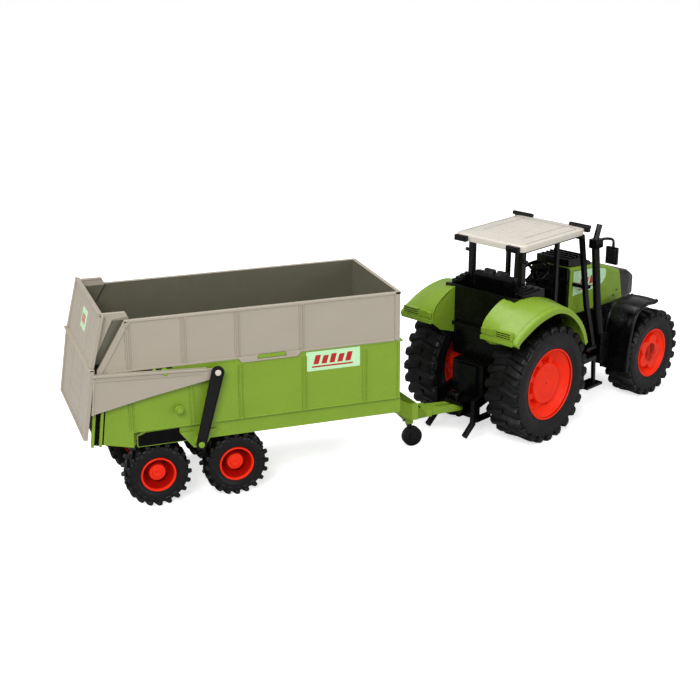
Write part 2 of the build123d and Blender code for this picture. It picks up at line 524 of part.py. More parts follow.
SILL_TOP = [(CAB_REAR_X, 130.7), (77.0, 120.6), (100.6, 107.6), (128.8, 84.7)]
ARCH_R, LOW_HALF = REAR_RADIUS + 2.4, 28.6
with BuildPart() as cab_tub:
    side_shape([(CAB_REAR_X, CAB_FLOOR_Z), *SILL_TOP, (CAB_FRONT_X, CAB_FLOOR_Z)], -SILL_HALF, SILL_HALF)
    slab((CAB_REAR_X - 4.0, 0.1 - FENDER_IN_Y, 95.0), (CAB_REAR_X, FENDER_IN_Y - 0.1, 98.0))
    for side in (-1, 1):
        low_y, high_y = sorted((side * LOW_HALF, side * 60.0))
        cross_pin(REAR_AXLE_X, REAR_RADIUS, ARCH_R, low_y, high_y, Mode.SUBTRACT)
    slab((CAB_REAR_X + 3.0, 2.4 - LOW_HALF, CAB_FLOOR_Z + 3.0), (140.0, LOW_HALF - 2.4, 135.0), Mode.SUBTRACT)
    slab((CAB_REAR_X + 3.0, 3.0 - SILL_HALF, REAR_RADIUS + ARCH_R + 2.6), (140.0, SILL_HALF - 3.0, 135.0),
         Mode.SUBTRACT)
    slab((111.0, 3.0 - SILL_HALF, CAB_FLOOR_Z + 3.0), (140.0, SILL_HALF - 3.0, 135.0), Mode.SUBTRACT)
    slab((FIREWALL_X[0], -SILL_HALF, 60.0), (FIREWALL_X[1], SILL_HALF, 84.7))
    slab((FIREWALL_X[0], -20.0, 84.0), (FIREWALL_X[1], 20.0, 133.0))
    slab((FIREWALL_X[0], -46.0, 60.0), (144.0, 46.0, 63.0))
    slab((100.0, -18.05, 50.0), (150.0, 18.05, CAB_FLOOR_Z), Mode.SUBTRACT)
    slab((133.9, -18.05, 50.0), (150.0, 18.05, 90.0), Mode.SUBTRACT)
keep("cab_tub", cab_tub, "cab floor, sills and firewall")

PILLAR_LEAN = 5.0
PILLAR_THICK = 3.4
REAR_PILLAR = ((47.4, 52.8), (25.2, 29.6))
MIDDLE_PILLAR = ((99.4, 103.2), (25.0, 28.2))


def pillar_plane(side):
    """Leaning plane of a front pillar: local x is forward, local y runs up the pillar from the roof."""
    lean = math.radians(PILLAR_LEAN)
    normal = (0, -math.cos(lean), -side * math.sin(lean))
    return Plane(origin=(0, side * CAB_HALF, ROOF_BOTTOM_Z), x_dir=(1, 0, 0), z_dir=normal)


def cab_side(side):
    """Adds the three pillars and the roof rail of one side."""
    drop = ROOF_BOTTOM_Z
    front = [(124.6, 0), (129.4, 0), (134.4, 103.0 - drop), (142.6, 63.0 - drop), (138.4, 63.0 - drop),
             (129.6, 103.0 - drop)]
    with BuildSketch(pillar_plane(side)) as flat:
        with BuildLine():
            Polyline(*front, close=True)
        make_face()
    extrude(flat.sketch, amount=side * PILLAR_THICK)
    shelf_z = REAR_RADIUS + ARCH_R + 2.6
    for (x_low, x_high), (near, far), foot_z in ((*REAR_PILLAR, shelf_z), (*MIDDLE_PILLAR, 102.0)):
        low_y, high_y = sorted((side * near, side * far))
        slab((x_low, low_y, foot_z), (x_high, high_y, ROOF_BOTTOM_Z))
    low_y, high_y = sorted((side * 25.2, side * 28.2))
    slab((REAR_PILLAR[0][0], low_y, ROOF_BOTTOM_Z - 3.0), (129.2, high_y, ROOF_BOTTOM_Z))


with BuildPart() as cab_frame:
    for side in (-1, 1):
        cab_side(side)
    slab((120.0, -50.0, 55.0), (150.0, 50.0, 63.0), Mode.SUBTRACT)
    sill_slope = (SILL_TOP[2][1] - SILL_TOP[1][1]) / (SILL_TOP[2][0] - SILL_TOP[1][0])
    sill_start = (95.0, SILL_TOP[1][1] + sill_slope * (95.0 - SILL_TOP[1][0]))
    side_shape([(95.0, CAB_FLOOR_Z), sill_start, SILL_TOP[2], SILL_TOP[3], (CAB_FRONT_X, CAB_FLOOR_Z)],
               -SILL_HALF, SILL_HALF, Mode.SUBTRACT)
    slab((REAR_PILLAR[0][0], -28.0, ROOF_BOTTOM_Z - 3.0), (REAR_PILLAR[0][0] + 3.0, 28.0, ROOF_BOTTOM_Z))
    slab((125.0, 2 - CAB_HALF, ROOF_BOTTOM_Z - 4.0), (129.2, CAB_HALF - 2, ROOF_BOTTOM_Z))
    for side in (-1, 1):
        for z in (157.6, 135.4):
            cross_pin(49.0, z, 1.6, *sorted((side * 29.0, side * 33.6)))
keep("cab_frame", cab_frame, "cab pillars and roof rails")

with BuildPart() as cab_roof:
    with BuildSketch(Plane.XY.offset(ROOF_BOTTOM_Z)):
        with Locations(((ROOF_REAR_X + ROOF_FRONT_X) / 2, 0)):
            RectangleRounded(ROOF_FRONT_X - ROOF_REAR_X, 2 * ROOF_HALF, 6.0)
    extrude(amount=ROOF_TOP_Z - ROOF_BOTTOM_Z)
    fillet(cab_roof.faces().sort_by(Axis.Z)[-1].edges(), radius=3.0)
keep("cab_roof", cab_roof, "cream cab roof")

with BuildPart() as rear_lights:
    for side in (-1, 1):
        low_y, high_y = sorted((side * 22.0, side * 34.8))
        slab((ROOF_REAR_X - 3.4, low_y, ROOF_BOTTOM_Z + 0.1), (ROOF_REAR_X, high_y, 173.6))
keep("rear_roof_lights", rear_lights, "work lights on the rear of the roof")

with BuildPart() as front_lights:
    for side in (-1, 1):
        low_y, high_y = sorted((side * 22.0, side * 44.0))
        slab((ROOF_FRONT_X, low_y, 171.2), (ROOF_FRONT_X + 3.6, high_y, 176.4))
keep("front_roof_lights", front_lights, "work lights on the front of the roof")

FENDER_OUTER = [(-2.5, 101.5), (-2.5, 105.0), (13.6, 113.2), (27.0, 118.4), (41.6, 121.4), (56.7, 122.3),
                (72.8, 116.7), (88.0, 104.5), (96.4, 92.8), (101.1, 80.6)]
FENDER_INNER = [(-2.5, 101.5), (-2.5, 114.0), (11.0, 124.0), (27.0, 130.0), (43.0, 130.2), (58.0, 127.0),
                (77.0, 120.6), (93.0, 108.0), (100.6, 96.0), (104.0, 82.0)]


def toward_axle(points, depth):
    """Moves an arch outline toward the rear axle, which leaves a wall of that thickness."""
    moved = []
    for x, z in points:
        reach = math.dist((x, z), (REAR_AXLE_X, REAR_RADIUS))
        share = (reach - depth) / reach
        moved.append((REAR_AXLE_X + share * (x - REAR_AXLE_X), REAR_RADIUS + share * (z - REAR_RADIUS)))
    return moved


for side, side_name in ((1, "left"), (-1, "right")):
    with BuildPart() as rear_fender:
        side_loft(FENDER_INNER, FENDER_OUTER, side * FENDER_IN_Y, side * FENDER_OUT_Y)
        low_y, high_y = sorted((side * FENDER_IN_Y, side * (FENDER_IN_Y + 1.8)))
        side_shape([(-2.5, 101.5), (26.8, 106.0), (26.8, 87.0), (8.0, 93.0)], low_y, high_y)
        void_inner = [(6.0, 60.0), *toward_axle(FENDER_INNER, 3.0), (99.0, 60.0)]
        void_outer = [(6.0, 60.0), *toward_axle(FENDER_OUTER, 3.0), (96.0, 60.0)]
        side_loft(void_inner, void_outer, side * (FENDER_IN_Y + 1.8), side * (FENDER_OUT_Y + 1.0),
                  Mode.SUBTRACT)
        low_y, high_y = sorted((side * (FENDER_IN_Y + 1.8), side * (FENDER_OUT_Y + 1.0)))
        cross_pin(REAR_AXLE_X, REAR_RADIUS, ARCH_R, low_y, high_y, Mode.SUBTRACT)
        low_y, high_y = sorted((0.0, side * (SILL_HALF + 0.05)))
        slab((CAB_REAR_X - 0.1, low_y, 60.0), (140.0, high_y, 140.0), Mode.SUBTRACT)
        low_y, high_y = sorted((side * 40.0, side * 61.0))
        slab((-3.3, low_y, 103.4), (-1.5, high_y, 104.8))
    keep(f"rear_fender_{side_name}", rear_fender, f"rear fender, {side_name}")

FRONT_GUARD = [(212.0, 93.4), (192.0, 95.6), (180.6, 90.4), (172.0, 72.0), (168.2, 50.0), (168.0, 33.4)]
for side, side_name in ((1, "left"), (-1, "right")):
    with BuildPart() as front_fender:
        low_y, high_y = sorted((side * 34.6, side * 64.5))
        guard_inside = [(x + 0.7 * 2.6, z - 0.7 * 2.6) for x, z in reversed(FRONT_GUARD[1:-1])]
        side_shape([*FRONT_GUARD, (170.6, 33.4), *guard_inside, (212.0, 91.2)], low_y, high_y)
        low_y, high_y = sorted((side * 32.0, side * 34.8))
        side_shape([(208.0, 52.0), (218.0, 52.0), (206.0, 92.6), (190.0, 93.6), (183.0, 90.0)], low_y, high_y)
    keep(f"front_fender_{side_name}", front_fender, f"front mudguard with bracket, {side_name}")

with BuildPart() as seat:
    side_shape([(52.0, 71.0), (56.0, 92.0), (74.0, 92.0), (78.0, 71.0)], -9.0, 9.0)
    side_shape([(50.0, 91.0), (48.0, 100.0), (80.0, 101.0), (80.0, 92.0)], -13.5, 13.5)
    side_shape([(49.0, 97.0), (46.4, 118.0), (55.8, 118.0), (57.0, 99.0)], -13.5, 13.5)
    side_shape([(46.4, 117.9), (45.0, 138.0), (47.6, 141.4), (53.4, 140.4), (55.8, 117.9)], -20.5, 20.5)
    for side in (-1, 1):
        low_y, high_y = sorted((side * 2.0, side * 12.0))
        side_shape([(46.6, 140.0), (48.6, 144.0), (51.6, 144.0), (53.2, 140.0)], low_y, high_y)
    for side in (-1, 1):
        low_y, high_y = sorted((side * 13.4, side * 17.0))
        side_shape([(48.0, 116.0), (48.0, 120.0), (74.0, 121.0), (74.0, 117.0)], low_y, high_y)
keep("driver_seat", seat, "driver seat")

STEER_X, STEER_Z = 106.0, 131.0
tilt = math.radians(COLUMN_TILT)
UP_COLUMN = (-math.sin(tilt), 0, math.cos(tilt))


def along_column(distance):
    """Point on the steering axis, measured from the wheel centre down the column."""
    return (STEER_X - distance * UP_COLUMN[0], 0, STEER_Z - distance * UP_COLUMN[2])


with BuildPart() as dashboard:
    side_shape([(114.0, 71.0), (113.0, 116.0), (118.0, 122.0), (128.5, 122.0), (128.5, 71.0)], -15.0, 15.0)
    rod(along_column(22.0), along_column(2.0), 3.2)
    rod(along_column(2.0), along_column(-2.0), 1.6)
keep("dashboard", dashboard, "dashboard with steering column")

with BuildPart() as steering_wheel:
    with BuildSketch(Plane(origin=along_column(0.0), x_dir=(0, 1, 0), z_dir=UP_COLUMN)):
        Circle(14.0)
        Circle(11.6, mode=Mode.SUBTRACT)
        Circle(3.6)
        for spoke_angle in (90, 210, 330):
            with PolarLocations(6.8, 1, start_angle=spoke_angle):
                Rectangle(10.4, 2.4)
    extrude(amount=2.2)
    with BuildSketch(Plane(origin=along_column(0.5), x_dir=(0, 1, 0), z_dir=UP_COLUMN)):
        Circle(1.6 + RUN_FIT)
    extrude(amount=2.6, mode=Mode.SUBTRACT)
keep("steering_wheel", steering_wheel, "steering wheel")

EXHAUST_Y = -43.0
with BuildPart() as exhaust:
    slab((147.0, EXHAUST_Y - 5.0, 44.6), (160.0, EXHAUST_Y + 5.0, 72.0))
    rod((152.0, EXHAUST_Y, 70.0), (145.0, EXHAUST_Y, 98.0), 4.4)
    rod((145.6, EXHAUST_Y, 96.0), (139.6, -41.0, 158.0), 3.6)
    slab((135.0, -45.0, 155.0), (146.0, -37.0, 163.0))
    rod((139.4, -41.0, 162.0), (144.5, -41.0, 175.6), 2.6)
keep("exhaust_stack", exhaust, "exhaust stack on the right front pillar")

with BuildPart() as exhaust_bracket:
    slab((134.0, EXHAUST_Y + 4.5, 116.4), (137.2, -HOOD_HALF, 119.6))
    slab((134.0, EXHAUST_Y + 4.5, 116.4), (139.8, EXHAUST_Y + 7.5, 119.6))
keep("exhaust_bracket", exhaust_bracket, "stay between hood and exhaust")

with BuildPart() as mirror_right:
    rod((146.0, -43.0, 160.8), (151.0, -43.0, 160.8), 1.3)
    rod((151.0, -42.0, 160.8), (151.0, -54.0, 162.0), 1.3)
    rod((151.0, -54.0, 163.2), (151.0, -54.0, 153.0), 1.3)
    slab((149.4, -59.6, 138.0), (152.4, -46.4, 154.0))
keep("mirror_right", mirror_right, "right mirror on its arm")

with BuildPart() as steps:
    for side in (-1, 1):
        low_y, high_y = sorted((side * 46.0, side * 60.0))
        slab((112.0, low_y, 30.6), (136.0, high_y, 33.0))
        for foot_x in (115.0, 133.0):
            low_y, high_y = sorted((side * 50.0, side * 53.0))
            strap = [(foot_x - 3.4, 56.0), (foot_x + 0.2, 56.0), (foot_x + 1.6, 33.0), (foot_x - 1.6, 33.0)]
            side_shape(strap, low_y, high_y)
        low_y, high_y = sorted((side * 27.0, side * 53.0))
        slab((110.0, low_y, 53.0), (134.0, high_y, 57.0))
keep("steps", steps, "cab steps, left and right")

with BuildPart() as rear_hitch:
    slab((-5.6, -9.0, DRAWBAR_TOP_Z + GAP), (14.2, 9.0, DRAWBAR_TOP_Z + 3.6))
    slab((-5.6, -9.0, DRAWBAR_LOW_Z - 3.6), (14.2, 9.0, DRAWBAR_LOW_Z - GAP))
    slab((11.4, -11.0, 18.0), (14.0, 11.0, 66.0))
    for side in (-1, 1):
        low_y, high_y = sorted((side * 8.0, side * 12.0))
        slab((14.0, low_y, 14.0), (34.0, high_y, 18.4))
        slab((14.0, low_y, 14.0), (18.0, high_y, 37.4))
    with BuildSketch(Plane.XY.offset(DRAWBAR_LOW_Z - 4.0)):
        Circle(PIN_R)
    extrude(amount=DRAWBAR_TOP_Z - DRAWBAR_LOW_Z + 12.0)
    with BuildSketch(Plane.XY.offset(DRAWBAR_TOP_Z + 7.6)):
        Circle(PIN_R + 1.6)
    extrude(amount=2.4)
keep("rear_hitch", rear_hitch, "hitch jaw with its pin")

with BuildPart() as lift_shaft:
    cross_pin(LIFT_PIVOT_X, LIFT_PIVOT_Z, LIFT_SHAFT_R, -24.2, 24.2)
keep("lift_shaft", lift_shaft, "cross shaft of the lift arms")

for side, side_name in ((1, "left"), (-1, "right")):
    with BuildPart() as lift_arm:
        low_y, high_y = sorted((side * 19.0, side * 22.6))
        side_shape([(LIFT_PIVOT_X + 3.6, 47.0), (LIFT_PIVOT_X + 3.6, 41.0), (2.0, 33.0), (-0.8, 19.4),
                    (-12.4, 9.8), (-15.4, 13.0), (-4.8, 22.0), (-3.6, 41.6), (LIFT_PIVOT_X - 3, 47.6)],
                   low_y, high_y)
        cross_pin(LIFT_PIVOT_X, LIFT_PIVOT_Z, LIFT_SHAFT_R, -30, 30, Mode.SUBTRACT)
    keep(f"lift_arm_{side_name}", lift_arm, f"lower lift arm with hook, {side_name}")

tractor_names = set(pieces) - trailer_names

# --- Assembly: the tractor is turned into place, then everything is centred over its base ----------------
for name in tractor_names:
    pieces[name].move(Location((0, 0, 0), (0, 0, STEER_ANGLE)))

boxes = [part.bounding_box() for part in pieces.values()]
low_corner = [min(getattr(box.min, axis) for box in boxes) for axis in "XYZ"]
high_corner = [max(getattr(box.max, axis) for box in boxes) for axis in "XYZ"]
ORIGIN_SHIFT = (-(low_corner[0] + high_corner[0]) / 2, -(low_corner[1] + high_corner[1]) / 2, -low_corner[2])

os.makedirs("parts", exist_ok=True)
for name, part in pieces.items():
    part.move(Location(ORIGIN_SHIFT))
    export_step(part, f"parts/{name}.step")
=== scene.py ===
"""Looks of a toy tractor with a hitched tipping trailer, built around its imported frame."""

import json
import logging
import math
from dataclasses import dataclass
from enum import Enum

import bmesh
import bpy
from mathutils import Matrix, Vector


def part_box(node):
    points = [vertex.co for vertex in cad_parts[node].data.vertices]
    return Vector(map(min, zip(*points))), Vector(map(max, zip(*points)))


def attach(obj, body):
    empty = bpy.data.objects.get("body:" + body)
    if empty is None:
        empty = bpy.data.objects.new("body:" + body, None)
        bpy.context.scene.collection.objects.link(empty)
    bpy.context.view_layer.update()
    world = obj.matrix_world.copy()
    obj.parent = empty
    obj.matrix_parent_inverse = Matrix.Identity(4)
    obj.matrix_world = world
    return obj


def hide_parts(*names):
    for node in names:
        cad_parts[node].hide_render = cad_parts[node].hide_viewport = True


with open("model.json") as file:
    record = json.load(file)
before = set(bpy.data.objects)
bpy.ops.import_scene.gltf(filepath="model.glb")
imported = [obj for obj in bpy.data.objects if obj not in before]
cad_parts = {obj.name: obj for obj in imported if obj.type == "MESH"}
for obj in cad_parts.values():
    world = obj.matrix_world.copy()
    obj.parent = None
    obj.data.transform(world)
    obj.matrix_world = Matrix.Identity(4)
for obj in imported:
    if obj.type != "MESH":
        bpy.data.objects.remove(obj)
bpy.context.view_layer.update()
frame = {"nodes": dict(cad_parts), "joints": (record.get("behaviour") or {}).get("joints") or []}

log = logging.getLogger("toy_tractor")
MM = 0.001
Pair = tuple[float, float]
Triple = tuple[float, float, float]
Colour = Triple
Outline = list[Pair]


def joint_entry(name: str) -> dict:
    """The frame's entry for a joint."""
    return next(joint for joint in frame["joints"] if joint["name"] == name)


def side_frames() -> tuple[Matrix, Matrix]:
    """Finds where the trailer's and the tractor's own axes lie.

    Returns:
        The matrices that take trailer and tractor millimetres to metres in the row frame.
    """
    pin = joint_entry("hitch")["pos_m"]
    across = joint_entry("rear_wheel_spin")["axis"]
    to_metres = Matrix.Scale(MM, 4)
    base = Matrix.Translation((pin[0], pin[1], 0.0))
    heading = math.atan2(-across[0], across[1])
    return base @ to_metres, base @ Matrix.Rotation(heading, 4, "Z") @ to_metres


TRAILER, TRACTOR = side_frames()


def shade(red: int, green: int, blue: int) -> Colour:
    """Turns a screen colour of 0 to 255 into the linear colour a shader takes."""
    return tuple((part / 255.0 / 12.92) if part <= 10 else ((part / 255.0 + 0.055) / 1.055) ** 2.4
                 for part in (red, green, blue))


def eased(points: Outline, rounds: int = 2, closed: bool = False) -> Outline:
    """Cuts the corners of a line so that it reads as a smooth curve.

    Args:
        points: The corners of the line.
        rounds: How often every corner is cut.
        closed: Whether the last point joins the first.

    Returns:
        The finer line, with its end points kept where it is open.
    """
    for _ in range(rounds):
        pairs = list(zip(points, points[1:] + points[:1])) if closed else list(zip(points, points[1:]))
        finer = []
        for (ax, ay), (bx, by) in pairs:
            finer.append((0.75 * ax + 0.25 * bx, 0.75 * ay + 0.25 * by))
            finer.append((0.25 * ax + 0.75 * bx, 0.25 * ay + 0.75 * by))
        points = finer if closed else [points[0], *finer[1:-1], points[-1]]
    return points


def span(side: int, inner: float, outer: float) -> Pair:
    """Two distances from the middle as a rising pair of Y on one side."""
    low, high = sorted((side * inner, side * outer))
    return low, high


# --- Effects shared by the finishes ---------------------------------------------------------------------
class Effect(Enum):
    """The shader effects that finishes place with their own values."""

    DRIFT = "shade_drift"
    GRAIN = "moulding_grain"
    RUB_AND_HIGHLIGHT = "edge_wear_and_highlight"
    SCUFF = "handling_scuffs"
    DUST = "settled_dust"


class EffectShelf:
    """Builds each effect group once and hands it to the finishes."""

    def __init__(self) -> None:
        """Starts with every effect built."""
        self.trees = {
            Effect.DRIFT: self.shade_drift(),
            Effect.GRAIN: self.moulding_grain(),
            Effect.RUB_AND_HIGHLIGHT: self.edge_wear_and_highlight(),
            Effect.SCUFF: self.handling_scuffs(),
            Effect.DUST: self.settled_dust(),
        }

    @staticmethod
    def blank(effect: Effect, inputs: dict[str, float], outputs: list[str]) -> bpy.types.NodeTree:
        """Makes an empty group with named number sockets.

        Args:
            effect: Which effect the group is for.
            inputs: Socket names with their usual values.
            outputs: Names of the values it puts out.

        Returns:
            The node tree with its input and output nodes placed.
        """
        tree = bpy.data.node_groups.new(effect.value, "ShaderNodeTree")
        for label, value in inputs.items():
            socket = tree.interface.new_socket(label, in_out="INPUT", socket_type="NodeSocketFloat")
            socket.default_value = value
        for label in outputs:
            tree.interface.new_socket(label, in_out="OUTPUT", socket_type="NodeSocketFloat")
        tree.nodes.new("NodeGroupInput").name = "in"
        tree.nodes.new("NodeGroupOutput").name = "out"
        return tree

    @staticmethod
    def noise(tree: bpy.types.NodeTree, scale: float | None, detail: float,
              stretch: Triple = (1.0, 1.0, 1.0)) -> bpy.types.Node:
        """Adds noise over the piece's own coordinates.

        Args:
            tree: The tree to add to.
            scale: Cells per metre, or None where a socket sets it.
            detail: Octaves of the noise.
            stretch: How the coordinates are scaled first.

        Returns:
            The noise node.
        """
        place = tree.nodes.new("ShaderNodeTexCoord")
        turn = tree.nodes.new("ShaderNodeMapping")
        turn.inputs["Scale"].default_value = stretch
        tree.links.new(place.outputs["Object"], turn.inputs["Vector"])
        node = tree.nodes.new("ShaderNodeTexNoise")
        node.inputs["Detail"].default_value = detail
        if scale is not None:
            node.inputs["Scale"].default_value = scale
        tree.links.new(turn.outputs["Vector"], node.inputs["Vector"])
        return node

    @staticmethod
    def spread(tree: bpy.types.NodeTree, value: bpy.types.NodeSocket, low: float,
               high: float) -> bpy.types.NodeSocket:
        """Stretches the part of a value between low and high over 0 to 1.

        Args:
            tree: The tree to add to.
            value: The value's socket.
            low: What becomes 0.
            high: What becomes 1.

        Returns:
            The stretched value's socket.
        """
        node = tree.nodes.new("ShaderNodeMapRange")
        node.inputs["From Min"].default_value = low
        node.inputs["From Max"].default_value = high
        tree.links.new(value, node.inputs["Value"])
        return node.outputs["Result"]

    @staticmethod
    def sum_up(tree: bpy.types.NodeTree, how: str, first: bpy.types.NodeSocket,
               second: bpy.types.NodeSocket | float) -> bpy.types.NodeSocket:
        """Joins two values by a sum, product or other operation.

        Args:
            tree: The tree to add to.
            how: The operation's name.
            first: The first value's socket.
            second: The second value's socket, or a number.

        Returns:
            The result's socket.
        """
        node = tree.nodes.new("ShaderNodeMath")
        node.operation = how
        tree.links.new(first, node.inputs[0])
        if isinstance(second, (int, float)):
            node.inputs[1].default_value = second
        else:
            tree.links.new(second, node.inputs[1])
        return node.outputs["Value"]

    def shade_drift(self) -> bpy.types.NodeTree:
        """Slow flow marks in the colour of a moulding."""
        tree = self.blank(Effect.DRIFT, {"Scale": 30.0}, ["Mask"])
        cloud = self.noise(tree, None, 3.0, (1.0, 1.0, 1.6))
        tree.links.new(tree.nodes["in"].outputs["Scale"], cloud.inputs["Scale"])
        tree.links.new(self.spread(tree, cloud.outputs["Fac"], 0.3, 0.7), tree.nodes["out"].inputs["Mask"])
        return tree

    def moulding_grain(self) -> bpy.types.NodeTree:
        """Fine texture of the mould over a faint waviness."""
        tree = self.blank(Effect.GRAIN, {"Scale": 2500.0, "Waviness": 0.5}, ["Height", "Sheen"])
        fine = self.noise(tree, None, 2.0)
        tree.links.new(tree.nodes["in"].outputs["Scale"], fine.inputs["Scale"])
        wave = self.noise(tree, 55.0, 1.0)
        slow = self.sum_up(tree, "MULTIPLY", wave.outputs["Fac"], tree.nodes["in"].outputs["Waviness"])
        tree.links.new(self.sum_up(tree, "ADD", fine.outputs["Fac"], slow),
                       tree.nodes["out"].inputs["Height"])
        patch = self.noise(tree, 140.0, 3.0)
        tree.links.new(self.spread(tree, patch.outputs["Fac"], 0.3, 0.7), tree.nodes["out"].inputs["Sheen"])
        return tree

    def edge_wear_and_highlight(self) -> bpy.types.NodeTree:
        """Outer edges made paler and smoother: partly wear from handling, partly a painted highlight where
        the rounded edges catch the light.
        """
        tree = self.blank(Effect.RUB_AND_HIGHLIGHT, {"Amount": 0.5}, ["Mask"])
        shape = tree.nodes.new("ShaderNodeNewGeometry")
        rounded = tree.nodes.new("ShaderNodeBevel")
        rounded.samples = 4
        rounded.inputs["Radius"].default_value = 0.55 * MM
        match = tree.nodes.new("ShaderNodeVectorMath")
        match.operation = "DOT_PRODUCT"
        tree.links.new(shape.outputs["Normal"], match.inputs[0])
        tree.links.new(rounded.outputs["Normal"], match.inputs[1])
        edge = self.spread(tree, match.outputs["Value"], 0.985, 0.8)
        patchy = self.spread(tree, self.noise(tree, 260.0, 4.0).outputs["Fac"], 0.32, 0.6)
        wear_and_highlight = self.sum_up(tree, "MULTIPLY", edge, patchy)
        tree.links.new(self.sum_up(tree, "MULTIPLY", wear_and_highlight, tree.nodes["in"].outputs["Amount"]),
                       tree.nodes["out"].inputs["Mask"])
        return tree

    def handling_scuffs(self) -> bpy.types.NodeTree:
        """Hair-thin scratches in two directions."""
        tree = self.blank(Effect.SCUFF, {"Amount": 0.3}, ["Mask"])
        one = self.spread(tree, self.noise(tree, 90.0, 5.0, (9.0, 1.0, 14.0)).outputs["Fac"], 0.6, 0.68)
        other = self.spread(tree, self.noise(tree, 110.0, 5.0, (1.0, 12.0, 7.0)).outputs["Fac"], 0.61, 0.69)
        both = self.sum_up(tree, "MAXIMUM", one, other)
        tree.links.new(self.sum_up(tree, "MULTIPLY", both, tree.nodes["in"].outputs["Amount"]),
                       tree.nodes["out"].inputs["Mask"])
        return tree

    def settled_dust(self) -> bpy.types.NodeTree:
        """Thin dust on what faces up."""
        tree = self.blank(Effect.DUST, {"Amount": 0.1}, ["Mask"])
        shape = tree.nodes.new("ShaderNodeNewGeometry")
        parts = tree.nodes.new("ShaderNodeSeparateXYZ")
        tree.links.new(shape.outputs["Normal"], parts.inputs["Vector"])
        level = self.spread(tree, parts.outputs["Z"], 0.5, 1.0)
        cloud = self.spread(tree, self.noise(tree, 160.0, 6.0).outputs["Fac"], 0.4, 0.75)
        lying = self.sum_up(tree, "MULTIPLY", level, cloud)
        tree.links.new(self.sum_up(tree, "MULTIPLY", lying, tree.nodes["in"].outputs["Amount"]),
                       tree.nodes["out"].inputs["Mask"])
        return tree


